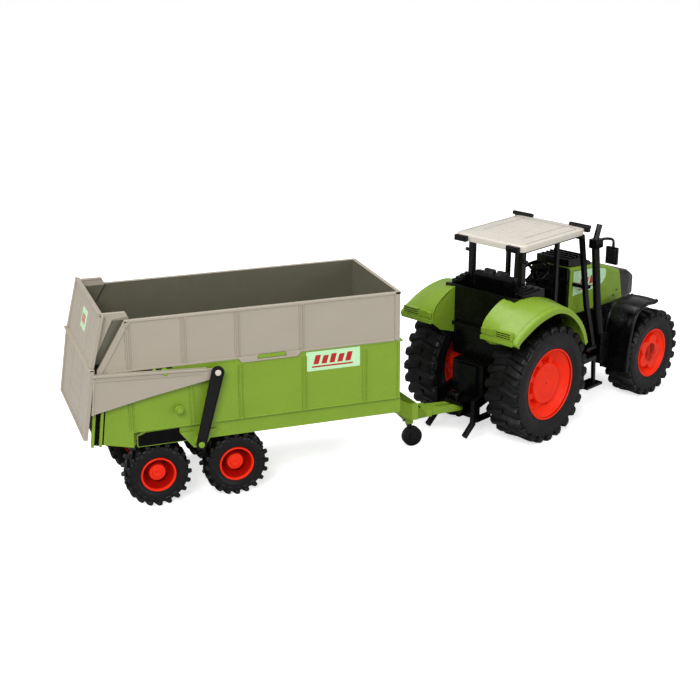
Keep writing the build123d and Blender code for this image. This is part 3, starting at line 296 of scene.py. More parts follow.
# --- Finishes ---------------------------------------------------------------------------------------------
@dataclass(frozen=True)
class Finish:
    """One finish of the toy: its tones, gloss, how worn it is and the painted highlight on its edges."""

    name: str
    tone: Colour
    deep_tone: Colour
    worn_and_highlight_tone: Colour
    roughness: float = 0.36
    gloss_spread: float = 0.1
    metallic: float = 0.0
    coat: float = 0.15
    grain_scale: float = 2600.0
    waviness: float = 0.5
    relief: float = 0.06
    rub_and_highlight: float = 0.4
    scuffs: float = 0.12
    dust: float = 0.02
    specular: float = 0.5

    def make(self, shelf: EffectShelf) -> bpy.types.Material:
        """Builds the material from the shared effects.

        Args:
            shelf: Where the effect groups are.

        Returns:
            The finished material.
        """
        material = bpy.data.materials.new(self.name)
        material.use_nodes = True
        material.diffuse_color = (*self.tone, 1.0)
        tree = material.node_tree
        skin = tree.nodes["Principled BSDF"]
        skin.inputs["Metallic"].default_value = self.metallic
        skin.inputs["Coat Weight"].default_value = self.coat
        skin.inputs["Coat Roughness"].default_value = 0.12
        skin.inputs["Specular IOR Level"].default_value = self.specular
        drift = self.place(tree, shelf, Effect.DRIFT, {"Scale": 38.0})
        grain = self.place(tree, shelf, Effect.GRAIN, {"Scale": self.grain_scale, "Waviness": self.waviness})
        rub_and_highlight = self.place(tree, shelf, Effect.RUB_AND_HIGHLIGHT, {"Amount": self.rub_and_highlight})
        scuff = self.place(tree, shelf, Effect.SCUFF, {"Amount": self.scuffs})
        dust = self.place(tree, shelf, Effect.DUST, {"Amount": self.dust})
        colour = self.blend_tones(tree, drift.outputs["Mask"], self.tone, self.deep_tone)
        colour = self.underlay(tree, colour)
        # Paler edges: partly wear, partly painted highlight.
        colour = self.lay_over(tree, colour, rub_and_highlight.outputs["Mask"], self.worn_and_highlight_tone)
        colour = self.lay_over(tree, colour, dust.outputs["Mask"], (0.5, 0.48, 0.44))
        tree.links.new(colour, skin.inputs["Base Color"])
        gloss = tree.nodes.new("ShaderNodeMapRange")
        gloss.inputs["To Min"].default_value = self.roughness - self.gloss_spread
        gloss.inputs["To Max"].default_value = self.roughness + self.gloss_spread
        tree.links.new(grain.outputs["Sheen"], gloss.inputs["Value"])
        rougher = EffectShelf.sum_up(tree, "MULTIPLY", scuff.outputs["Mask"], 0.35)
        tree.links.new(EffectShelf.sum_up(tree, "ADD", gloss.outputs["Result"], rougher),
                       skin.inputs["Roughness"])
        carved = EffectShelf.sum_up(tree, "MULTIPLY", scuff.outputs["Mask"], -0.6)
        bump = tree.nodes.new("ShaderNodeBump")
        bump.inputs["Strength"].default_value = self.relief
        bump.inputs["Distance"].default_value = 0.4 * MM
        tree.links.new(EffectShelf.sum_up(tree, "ADD", grain.outputs["Height"], carved),
                       bump.inputs["Height"])
        tree.links.new(bump.outputs["Normal"], skin.inputs["Normal"])
        return material

    def underlay(self, tree: bpy.types.NodeTree, colour: bpy.types.NodeSocket) -> bpy.types.NodeSocket:
        """The colour under wear, edge highlight and dust, where some finishes paint shade; plain finishes
        leave it as it is.
        """
        return colour

    @staticmethod
    def place(tree: bpy.types.NodeTree, shelf: EffectShelf, effect: Effect,
              values: dict[str, float]) -> bpy.types.Node:
        """Places one effect group with this finish's values.

        Args:
            tree: The material's tree.
            shelf: Where the effect groups are.
            effect: Which effect.
            values: Input names with their values.

        Returns:
            The group node.
        """
        node = tree.nodes.new("ShaderNodeGroup")
        node.node_tree = shelf.trees[effect]
        for label, value in values.items():
            node.inputs[label].default_value = value
        return node

    @staticmethod
    def blend_tones(tree: bpy.types.NodeTree, mask: bpy.types.NodeSocket, first: Colour,
                    second: Colour) -> bpy.types.NodeSocket:
        """Mixes two tones by a mask.

        Args:
            tree: The material's tree.
            mask: Where the second tone shows.
            first: The usual tone.
            second: The other tone.

        Returns:
            The mixed colour's socket.
        """
        node = tree.nodes.new("ShaderNodeMix")
        node.data_type = "RGBA"
        tree.links.new(mask, node.inputs[0])
        node.inputs[6].default_value = (*first, 1.0)
        node.inputs[7].default_value = (*second, 1.0)
        return node.outputs[2]

    @staticmethod
    def lay_over(tree: bpy.types.NodeTree, colour: bpy.types.NodeSocket, mask: bpy.types.NodeSocket,
                 top: Colour) -> bpy.types.NodeSocket:
        """Lays a tone over a colour where a mask says.

        Args:
            tree: The material's tree.
            colour: The colour underneath.
            mask: Where the tone lies.
            top: The tone.

        Returns:
            The covered colour's socket.
        """
        node = tree.nodes.new("ShaderNodeMix")
        node.data_type = "RGBA"
        tree.links.new(mask, node.inputs[0])
        tree.links.new(colour, node.inputs[6])
        node.inputs[7].default_value = (*top, 1.0)
        return node.outputs[2]


@dataclass(frozen=True)
class ShadedInsideFinish(Finish):
    """A bed finish with painted shade on the bed's inner faces, standing in for the shade that falls inside
    the bed.
    """

    painted_inside_shade: Colour = shade(94, 92, 76)
    inner_half: float = 51.4
    inner_front_x: float = -77.6
    rim_z: float = 157.6

    def underlay(self, tree: bpy.types.NodeTree, colour: bpy.types.NodeSocket) -> bpy.types.NodeSocket:
        """Paints shade over what lies between the outer faces of the side walls.

        Args:
            tree: The material's tree.
            colour: The colour of the outer faces.

        Returns:
            The colour's socket.
        """
        centre_y = TRAILER.translation.y
        front_x = (TRAILER @ Vector((self.inner_front_x, 0.0, 0.0))).x
        place = tree.nodes.new("ShaderNodeTexCoord")
        parts = tree.nodes.new("ShaderNodeSeparateXYZ")
        tree.links.new(place.outputs["Object"], parts.inputs["Vector"])
        off_centre = EffectShelf.sum_up(tree, "SUBTRACT", parts.outputs["Y"], centre_y)
        width = tree.nodes.new("ShaderNodeMath")
        width.operation = "ABSOLUTE"
        tree.links.new(off_centre, width.inputs[0])
        within = EffectShelf.sum_up(tree, "LESS_THAN", width.outputs[0], self.inner_half * MM)
        behind = EffectShelf.sum_up(tree, "LESS_THAN", parts.outputs["X"], front_x)
        below = EffectShelf.sum_up(tree, "LESS_THAN", parts.outputs["Z"], self.rim_z * MM)
        between = EffectShelf.sum_up(tree, "MULTIPLY", within, behind)
        painted_shade_mask = EffectShelf.sum_up(tree, "MULTIPLY", between, below)
        return self.lay_over(tree, colour, painted_shade_mask, self.painted_inside_shade)


class Coat(Enum):
    """The finishes of the toy's pieces."""

    GREEN = Finish("lime_green_plastic", shade(124, 156, 42), shade(121, 152, 40), shade(150, 180, 68), 0.32,
                   coat=0.04, specular=0.36)
    GREY = Finish("warm_grey_plastic", shade(166, 157, 142), shade(163, 154, 139), shade(190, 182, 168), 0.4,
                  coat=0.05, relief=0.08)
    CREAM = Finish("cream_plastic", shade(206, 200, 188), shade(204, 198, 186), shade(222, 217, 207), 0.32,
                   relief=0.02, scuffs=0.0, dust=0.0)
    # Painted shadow for the roof's engraved lines.
    GROOVE_SHADOW = Finish("roof_seam_shadow", shade(112, 106, 94), shade(106, 100, 88), shade(140, 134, 122), 0.6,
                  coat=0.0, relief=0.02, scuffs=0.0, dust=0.0, specular=0.1)
    BLACK = Finish("black_plastic", shade(5, 5, 6), shade(4, 4, 5), shade(26, 26, 28), 0.24, coat=0.0,
                   rub_and_highlight=0.3, dust=0.001, specular=0.3)
    ORANGE = Finish("orange_red_plastic", shade(240, 44, 12), shade(236, 41, 10), shade(248, 76, 36), 0.36,
                    coat=0.0, dust=0.0, specular=0.22)
    # Painted shade: a darker red laid on the rims' floors, step risers and dish insides.
    RED_PAINTED_SHADE = Finish("orange_red_painted_shade", shade(166, 14, 3), shade(158, 12, 2), shade(184, 26, 8), 0.5,
                      coat=0.0, dust=0.0, specular=0.1)
    RUBBER = Finish("tyre_rubber", shade(13, 13, 15), shade(10, 10, 12), shade(28, 28, 31), 0.42, coat=0.0,
                    grain_scale=1800.0, relief=0.12, rub_and_highlight=0.4, scuffs=0.2, dust=0.002, specular=0.26)
    STEEL = Finish("drawn_steel", shade(176, 177, 180), shade(158, 159, 162), shade(214, 214, 216), 0.3,
                   metallic=1.0, coat=0.0, relief=0.1, dust=0.0)
    DARK = Finish("dark_moulding", shade(20, 20, 23), shade(17, 17, 20), shade(48, 48, 52), 0.32, dust=0.002,
                  specular=0.35)
    MINT = Finish("mint_sticker", shade(190, 232, 184), shade(187, 229, 181), shade(216, 242, 212), 0.25,
                  coat=0.2, relief=0.02, scuffs=0.05, dust=0.0)
    RED = Finish("red_sticker_ink", shade(180, 14, 24), shade(172, 11, 20), shade(200, 60, 56), 0.28,
                 coat=0.2, relief=0.02, scuffs=0.05, dust=0.0)
    # Painted shadow: a near-black laid where holes, gaps and shaded recesses are.
    SHADOW_BLACK = Finish("painted_shadow_black", shade(8, 7, 7), shade(5, 4, 4), shade(12, 10, 10), 0.8, coat=0.0, dust=0.0,
                   specular=0.1)
    # Painted shade: the two finishes below darken the bed's inner faces by position, where shade falls inside
    # the bed.
    GREY_SHADED_INSIDE = ShadedInsideFinish("warm_grey_plastic_shaded_inside", shade(166, 157, 142), shade(163, 154, 139),
                        shade(190, 182, 168), 0.4, coat=0.05, relief=0.08)
    GREEN_SHADED_INSIDE = ShadedInsideFinish("lime_green_plastic_shaded_inside", shade(124, 156, 42), shade(121, 152, 40),
                              shade(150, 180, 68), 0.32, coat=0.04, specular=0.36, painted_inside_shade=shade(58, 62, 42))


class Paintbox:
    """Makes each finish once, and hands out its material."""

    def __init__(self) -> None:
        """Builds the effects and every finish."""
        shelf = EffectShelf()
        self.materials = {coat: coat.value.make(shelf) for coat in Coat}

    def get(self, coat: Coat) -> bpy.types.Material:
        """The material of a finish."""
        return self.materials[coat]


paint = Paintbox()


class Slot(Enum):
    """The record's material slots."""

    GREEN = "green_plastic"
    GREY = "grey_plastic"
    CREAM = "cream_plastic"
    BLACK = "black_plastic"
    ORANGE = "orange_plastic"
    TYRE = "tyre_rubber"
    STEEL = "steel"
    DARK = "dark_plastic"


# --- Mesh kit ---------------------------------------------------------------------------------------------
class Stock:
    """A blank in millimetres from which one moulded piece is built up and placed."""

    def __init__(self, place: Matrix) -> None:
        """Starts an empty blank in the trailer's or the tractor's own axes."""
        self.place = place
        self.mesh = bmesh.new()

    def rings(self, loops: list[list[Triple]], skin: int = 0, capped: bool = True,
              closed: bool = False) -> None:
        """Joins rings of points into a shell.

        Args:
            loops: Rings of equal length, in order.
            skin: Material index of the faces.
            capped: Whether the first and last ring are filled.
            closed: Whether the last ring joins the first instead.
        """
        made = [[self.mesh.verts.new(point) for point in loop] for loop in loops]
        pairs = list(zip(made, made[1:]))
        if closed:
            pairs.append((made[-1], made[0]))
        faces = []
        for first, second in pairs:
            count = len(first)
            for i in range(count):
                j = (i + 1) % count
                faces.append(self.mesh.faces.new((first[i], first[j], second[j], second[i])))
        if capped and not closed:
            faces.append(self.mesh.faces.new(list(reversed(made[0]))))
            faces.append(self.mesh.faces.new(made[-1]))
        for face in faces:
            face.material_index = skin

    def prism(self, outline: Outline, y_low: float, y_high: float, skin: int = 0) -> None:
        """Stands an outline of (x, z) points between two Y."""
        self.rings([[(x, y, z) for x, z in outline] for y in (y_low, y_high)], skin)

    def plan(self, outline: Outline, z_low: float, z_high: float, skin: int = 0) -> None:
        """Stands an outline of (x, y) points between two heights."""
        self.rings([[(x, y, z) for x, y in outline] for z in (z_low, z_high)], skin)

    def block(self, low: Triple, high: Triple, skin: int = 0) -> None:
        """A straight bar between two corners."""
        corners = [(low[0], low[2]), (high[0], low[2]), (high[0], high[2]), (low[0], high[2])]
        self.prism(corners, low[1], high[1], skin)

    def side_block(self, side: int, x_span: Pair, y_span: Pair, z_span: Pair, skin: int = 0) -> None:
        """A straight bar on one side, its Y span given as distances from the middle."""
        y = span(side, *y_span)
        self.block((x_span[0], y[0], z_span[0]), (x_span[1], y[1], z_span[1]), skin)

    def lathe(self, centre: Pair, profile: Outline, steps: int = 72, skin: int = 0) -> None:
        """Turns a closed (y, radius) profile round an axle at (x, z)."""
        loops = []
        for i in range(steps):
            angle = math.tau * i / steps
            loops.append([(centre[0] + r * math.cos(angle), y, centre[1] + r * math.sin(angle))
                          for y, r in profile])
        self.rings(loops, skin, closed=True)

    def pin(self, centre: Pair, radius: float, y_low: float, y_high: float, sides: int = 32,
            skin: int = 0) -> None:
        """A round pin along Y with slightly broken edges."""
        crown = min(0.25 * radius, 0.4)
        steps = ((y_low, radius - crown), (y_low + crown, radius), (y_high - crown, radius),
                 (y_high, radius - crown))
        angles = [math.tau * i / sides for i in range(sides)]
        self.rings([[(centre[0] + r * math.cos(angle), y, centre[1] + r * math.sin(angle))
                     for angle in angles] for y, r in steps], skin)

    def bar(self, points: list[Triple], radius: float, sides: int = 16,
            skin: int = 0) -> None:
        """A round bar that follows points.

        Args:
            points: The bar's centre line.
            radius: The bar's radius.
            sides: Points round the bar.
            skin: Material index of the faces.
        """
        line = [Vector(point) for point in points]
        loops = []
        for i, here in enumerate(line):
            ahead = (line[min(i + 1, len(line) - 1)] - line[max(i - 1, 0)]).normalized()
            across = ahead.cross(Vector((0.31, 0.17, 0.94))).normalized()
            upward = ahead.cross(across)
            loops.append([tuple(here + radius * (math.cos(math.tau * k / sides) * across
                                                 + math.sin(math.tau * k / sides) * upward))
                          for k in range(sides)])
        self.rings(loops, skin)

    def cast(self, name: str, body: str, slot: Slot, coats: list[Coat], replaces: tuple[str, ...] = (),
             edge: float = 0.35, smooth: float = 32.0) -> bpy.types.Object:
        """Turns the blank into a piece that rides on a body.

        Args:
            name: The piece's name.
            body: The body it moves with.
            slot: Not used.
            coats: Finishes in the order of the material indices.
            replaces: CAD nodes that it stands for.
            edge: Width of the broken edges, in millimetres; 0 leaves them as they are.
            smooth: Angle over which an edge stays sharp, in degrees.

        Returns:
            The placed object.
        """
        bmesh.ops.recalc_face_normals(self.mesh, faces=self.mesh.faces)
        self.mesh.transform(self.place)
        for face in self.mesh.faces:
            face.smooth = True
        limit = math.radians(smooth)
        for line in self.mesh.edges:
            line.smooth = not (line.is_manifold and line.calc_face_angle(0.0) > limit) or edge > 0
        data = bpy.data.meshes.new(name)
        self.mesh.to_mesh(data)
        self.mesh.free()
        piece = bpy.data.objects.new(name, data)
        bpy.context.scene.collection.objects.link(piece)
        for coat in coats:
            data.materials.append(paint.get(coat))
        if edge > 0:
            soften(piece, edge, limit)
        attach(piece, body)
        if replaces:
            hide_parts(*replaces)
        log.info("%s rides on %s with %d faces", name, body, len(data.polygons))
        return piece


def soften(piece: bpy.types.Object, edge: float, limit: float) -> None:
    """Breaks a piece's edges and evens its shading.

    Args:
        piece: The object.
        edge: Width of the broken edge, in millimetres.
        limit: Angle over which an edge is broken, in radians.
    """
    bevel = piece.modifiers.new("broken_edges", "BEVEL")
    bevel.width = edge * MM
    bevel.segments = 2
    bevel.limit_method = "ANGLE"
    bevel.angle_limit = limit
    bevel.use_clamp_overlap = True
    bevel.harden_normals = False
    even = piece.modifiers.new("even_shading", "WEIGHTED_NORMAL")
    even.keep_sharp = True
    even.weight = 60


def dress(node: str, coat: Coat, edge: float = 0.35) -> bpy.types.Object:
    """Gives a CAD piece whose shape is right its finish and broken edges.

    Args:
        node: The CAD node.
        coat: Its finish.
        edge: Width of the broken edges, in millimetres.

    Returns:
        The node's object.
    """
    piece = frame["nodes"][node]
    if not piece.material_slots:
        piece.data.materials.append(paint.get(coat))
    for entry in piece.material_slots:
        entry.material = paint.get(coat)
    weld = piece.modifiers.new("joined_faces", "WELD")
    weld.merge_threshold = 0.004 * MM
    flat = piece.modifiers.new("whole_faces", "DECIMATE")
    flat.decimate_type = "DISSOLVE"
    flat.angle_limit = math.radians(0.6)
    soften(piece, edge, math.radians(28.0))
    log.info("%s keeps its shape in %s", node, coat.value.name)
    return piece


REAR_AXLE = (52.7, 52.75)
FRONT_AXLE = (214.2, 41.7)


# --- Wheels -----------------------------------------------------------------------------------------------
class RimStyle(Enum):
    """How the middle of a rim is shaped."""

    PLATE = "flat hub plate with pockets round it"
    LOBES = "lobed hub plate over deep pockets"
    DISH = "deep dish with a stepped hub"


@dataclass
class Wheelset:
    """Two lugged tyres on moulded rims, with the axle between them."""

    name: str
    body: str
    place: Matrix
    axle_x: float
    radius: float
    lip: float
    width: float
    face_y: float
    lugs: int
    lug_height: float
    lug_width: float
    lug_sweep: float
    style: RimStyle

    def build(self) -> None:
        """Makes both sides and dresses the axle."""
        for side, side_name in ((1, "left"), (-1, "right")):
            self.tyre(side, side_name)
            self.rim(side, side_name)
        dress(f"{self.name}_axle", Coat.STEEL, 0.3)

    def across(self, side: int, depth: float) -> float:
        """The Y at a depth inward from the outer face."""
        return side * (self.face_y - depth)

    def carcass(self) -> Outline:
        """The tyre's section as (depth, radius) points, from the outer bead to the inner one."""
        tread = self.radius - self.lug_height
        wall = tread - self.lip
        half = [
            (0.13 * self.width, self.lip - 0.5),
            (0.05 * self.width, self.lip + 0.02 * wall),
            (0.045 * self.width, self.lip + 0.1 * wall),
            (0.035 * self.width, self.lip + 0.2 * wall),
            (0.012 * self.width, self.lip + 0.34 * wall),
            (0.012 * self.width, self.lip + 0.62 * wall),
            (0.03 * self.width, self.lip + 0.86 * wall),
            (0.1 * self.width, tread - 0.4),
            (0.24 * self.width, tread),
        ]
        return half + [(self.width - depth, r) for depth, r in reversed(half)]

    def tyre(self, side: int, side_name: str) -> None:
        """Turns the carcass and sets the lugs round it.

        Args:
            side: 1 for left, -1 for right.
            side_name: The side's word in the piece's name.
        """
        stock = Stock(self.place)
        section = [(self.across(side, depth), r) for depth, r in eased(self.carcass(), 2)]
        stock.lathe((self.axle_x, self.radius), section, 96)
        pitch = math.tau / self.lugs
        for half in (0, 1):
            for i in range(self.lugs):
                self.lug(stock, side, half, (i + 0.5 * half) * pitch)
        stock.cast(f"{self.name}_tyre_{side_name}_lugged", self.body, Slot.TYRE, [Coat.RUBBER],
                   (f"{self.name}_tyre_{side_name}",), edge=0, smooth=30.0)

    def lug(self, stock: Stock, side: int, half: int, angle: float) -> None:
        """Sets one slanted lug from the middle of the tread over the shoulder.

        Args:
            stock: The tyre's blank.
            side: 1 for left, -1 for right.
            half: 0 for the outer half of the tread, 1 for the inner half.
            angle: Where the lug's shoulder end sits round the wheel.
        """
        tread = self.radius - self.lug_height
        crown = 0.28 * self.lug_width
        stations = [
            (0.53, 1.0, tread - 0.8, self.radius - 0.35 * self.lug_height),
            (0.38, 0.74, tread - 0.8, self.radius - 0.25 * self.lug_height),
            (0.22, 0.36, tread - 0.8, self.radius - 0.08 * self.lug_height),
            (0.1, 0.08, tread - 1.0, self.radius),
            (0.02, 0.0, tread - 2.2, self.radius - 0.5),
            (-0.004, 0.0, tread - 3.4, self.radius - 1.5),
            (0.03, 0.0, tread - 4.6, tread - 1.4),
        ]
        loops = []
        for depth_share, lag, low, high in stations:
            depth = depth_share * self.width if half == 0 else (1.0 - depth_share) * self.width
            y = self.across(side, depth)
            turn = angle - lag * self.lug_sweep / self.radius
            grow = 1.0 + 0.25 * (1.0 - min(lag, 1.0))
            wide = 0.5 * grow * self.lug_width
            section = [(-1.25 * wide, low), (-wide, high - crown), (-wide + crown, high),
                       (wide - crown, high), (wide, high - crown), (1.25 * wide, low)]
            loops.append([self.spot(y, turn + shift / self.radius, r) for shift, r in section])
        stock.rings(loops)

    def spot(self, y: float, angle: float, r: float) -> Triple:
        """The point at an angle and a radius about the axle."""
        return (self.axle_x + r * math.cos(angle), y, self.radius + r * math.sin(angle))

    def rim(self, side: int, side_name: str) -> None:
        """Turns the rim and adds what its style has in the middle.

        Args:
            side: 1 for left, -1 for right.
            side_name: The side's word in the piece's name.
        """
        stock = Stock(self.place)
        shapes = {RimStyle.PLATE: self.plate_rim, RimStyle.LOBES: self.lobed_rim,
                  RimStyle.DISH: self.dish_rim}
        shapes[self.style](stock, side)
        stock.cast(f"{self.name}_rim_{side_name}_moulded", self.body, Slot.ORANGE,
                   [Coat.ORANGE, Coat.SHADOW_BLACK, Coat.RED_PAINTED_SHADE], (f"{self.name}_rim_{side_name}",), edge=0.22,
                   smooth=25.0)

    def turned(self, stock: Stock, side: int, profile: Outline, steps: int = 96, skin: int = 0) -> None:
        """Turns a profile of (share of width deep, share of lip radius) points."""
        stock.lathe((self.axle_x, self.radius),
                    [(self.across(side, depth * self.width), r * self.lip) for depth, r in profile], steps,
                    skin)

    def barrel(self, floor: float) -> Outline:
        """The back of a rim, from its inner lip to the middle at a depth.

        Known fault: plate_rim and lobed_rim join it after the front in this order, so that their outline
        crosses itself and a stray cone covers the recess. Joined from the middle outward it doesn't cross.

        Args:
            floor: Depth share of the rim's floor.

        Returns:
            The back's points as shares of the width and of the lip radius.
        """
        return [(0.9, 1.0), (0.9, 0.93), (0.7, 0.86), (floor + 0.08, 0.8), (floor + 0.08, 0.3),
                (0.84, 0.26), (0.84, 0.12)]

    def plate_rim(self, stock: Stock, side: int) -> None:
        """Three stepped rings, a floor with pockets and a broad flat hub plate."""
        profile = [(0.055, 1.0), (0.05, 0.968), (0.062, 0.952), (0.135, 0.945), (0.14, 0.905), (0.205, 0.898),
                   (0.21, 0.858), (0.275, 0.85), (0.285, 0.812), (0.45, 0.785), (0.45, 0.6), (0.2, 0.578),
                   (0.18, 0.556), (0.18, 0.45), (0.192, 0.44), (0.192, 0.375), (0.178, 0.365), (0.178, 0.2),
                   (0.192, 0.19), (0.192, 0.02)]
        self.turned(stock, side, profile + self.barrel(0.45) + [(0.84, 0.02)])
        # Painted shade: a dark red ring on the floor and thin dark red rings on the step risers.
        self.turned(stock, side, [(0.44, 0.783), (0.44, 0.605), (0.47, 0.605), (0.47, 0.783)], 96, 2)
        for share, low, high in ((0.948, 0.066, 0.132), (0.902, 0.143, 0.202), (0.855, 0.213, 0.272)):
            self.turned(stock, side, [(low, share - 0.003), (high, share - 0.007), (high, share + 0.004),
                                      (low, share + 0.006)], 96, 2)
        arms = 8
        for i in range(arms):
            self.arm(stock, side, math.tau * (i + 0.5) / arms, 0.52, 0.83, 0.21, 0.3)
            self.hole(stock, side, math.tau * i / arms, 0.73, 0.437)

    def arm(self, stock: Stock, side: int, angle: float, start: float, end: float, top: float,
            foot: float) -> None:
        """One radial arm that slopes from the hub plate to the ring.

        Args:
            stock: The rim's blank.
            side: 1 for left, -1 for right.
            angle: Where the arm stands.
            start: Its inner end as a share of the lip radius.
            end: Its outer end as a share of the lip radius.
            top: Depth share of its inner end.
            foot: Depth share of its outer end.
        """
        loops = []
        for share, depth in ((start, top), (end, foot)):
            r = share * self.lip
            wide = 0.075 * self.lip * (0.8 + 0.5 * share)
            low, high = self.across(side, 0.5 * self.width), self.across(side, depth * self.width)
            loops.append([self.spot(y, angle + shift / r, r)
                          for y, shift in ((low, -1.2 * wide), (high, -wide), (high, wide),
                                           (low, 1.2 * wide))])
        stock.rings(loops)

    def hole(self, stock: Stock, side: int, angle: float, share: float, depth: float) -> None:
        """A small black disc on the rim's floor: painted shadow that stands for a hole through it."""
        centre = self.spot(0.0, angle, share * self.lip)
        y_far, y_near = sorted((self.across(side, (depth + 0.02) * self.width),
                                self.across(side, (depth - 0.004) * self.width)))
        stock.pin((centre[0], centre[2]), 0.06 * self.lip, y_far, y_near, 16, 1)

    def lobed_rim(self, stock: Stock, side: int) -> None:
        """Two stepped rings and a lobed hub plate that stands over deep pockets."""
        profile = [(0.055, 1.0), (0.05, 0.955), (0.08, 0.93), (0.16, 0.92), (0.175, 0.86), (0.25, 0.85),
                   (0.27, 0.8), (0.46, 0.74), (0.46, 0.4), (0.12, 0.38), (0.12, 0.02)]
        self.turned(stock, side, profile + self.barrel(0.46) + [(0.84, 0.02)])
        # Painted shade: a dark red ring on the floor under the lobes.
        self.turned(stock, side, [(0.45, 0.738), (0.45, 0.4), (0.48, 0.4), (0.48, 0.738)], 96, 2)
        lobes = 5
        outline = []
        for i in range(120):
            angle = math.tau * i / 120
            swell = 0.5 + 0.5 * math.cos(lobes * angle)
            r = self.lip * (0.5 + 0.25 * swell ** 0.6)
            outline.append((angle, r))
        loops = []
        for depth, grow in ((0.46, 1.02), (0.15, 1.0), (0.12, 0.965)):
            y = self.across(side, depth * self.width)
            loops.append([self.spot(y, angle, r * grow) for angle, r in outline])
        stock.rings(loops)
        for i in range(lobes):
            self.hole(stock, side, math.tau * (i + 0.5) / lobes, 0.64, 0.455)

    def dish_rim(self, stock: Stock, side: int) -> None:
        """A rounded lip, a deep conical dish and a hub in two steps."""
        lip = [(0.09, 1.0), (0.03, 0.985), (0.02, 0.945), (0.03, 0.9), (0.1, 0.87)]
        profile = lip + [(0.5, 0.7), (0.56, 0.64), (0.57, 0.5), (0.3, 0.47), (0.27, 0.44), (0.27, 0.31),
                         (0.24, 0.29), (0.235, 0.15), (0.25, 0.13), (0.25, 0.02)]
        back = [(0.84, 0.02), (0.84, 0.3), (0.66, 0.34), (0.66, 0.8), (0.9, 0.93), (0.9, 1.0)]
        self.turned(stock, side, profile + back)
        # Painted shade: a dark red skin over the inside of the dish.
        self.turned(stock, side, [(0.1, 0.862), (0.5, 0.692), (0.555, 0.634), (0.562, 0.48), (0.6, 0.48),
                                  (0.6, 0.66), (0.53, 0.72), (0.12, 0.885)], 96, 2)


# --- Trailer bodywork -------------------------------------------------------------------------------------
@dataclass
class StickerSheet:
    """A mint sticker with a plain red graphic of slanted bars over a rule."""

    name: str
    body: str
    place: Matrix
    corner: Pair
    size: Pair
    bars: int

    def bar_outlines(self) -> list[Outline]:
        """The slanted bars and the rule under them, in the sticker's own millimetres."""
        wide, high = self.size
        pitch = 0.74 * wide / self.bars
        lean = 0.12 * high
        shapes = []
        for i in range(self.bars):
            start = 0.13 * wide + i * pitch
            low, top = 0.34 * high, (0.8 - 0.05 * (i % 2)) * high
            shapes.append([(start, low), (start + 0.66 * pitch, low), (start + 0.66 * pitch + lean, top),
                           (start + lean, top)])
        shapes.append([(0.1 * wide, 0.17 * high), (0.86 * wide, 0.17 * high), (0.87 * wide, 0.25 * high),
                       (0.11 * wide, 0.25 * high)])
        return shapes

    def build(self, y_skin: float, outward: int, outline: Outline | None = None) -> None:
        """Lays the sticker on a face square to Y.

        Args:
            y_skin: Y of the face that it lies on.
            outward: 1 or -1, the way the face looks.
            outline: The sticker's outline as (x, z) points, or None for a plain rectangle.
        """
        x, z = self.corner
        wide, high = self.size
        stock = Stock(self.place)
        sheet = outline or [(x, z), (x + wide, z), (x + wide, z + high), (x, z + high)]
        low, high_y = sorted((y_skin - 0.1 * outward, y_skin + 0.16 * outward))
        stock.prism(sheet, low, high_y)
        for shape in self.bar_outlines():
            if outward > 0:
                shape = [(wide - px, pz) for px, pz in shape]
            low, high_y = sorted((y_skin + 0.1 * outward, y_skin + 0.22 * outward))
            stock.prism([(x + px, z + pz) for px, pz in shape], low, high_y, 1)
        stock.cast(self.name, self.body, Slot.GREEN, [Coat.MINT, Coat.RED], edge=0)


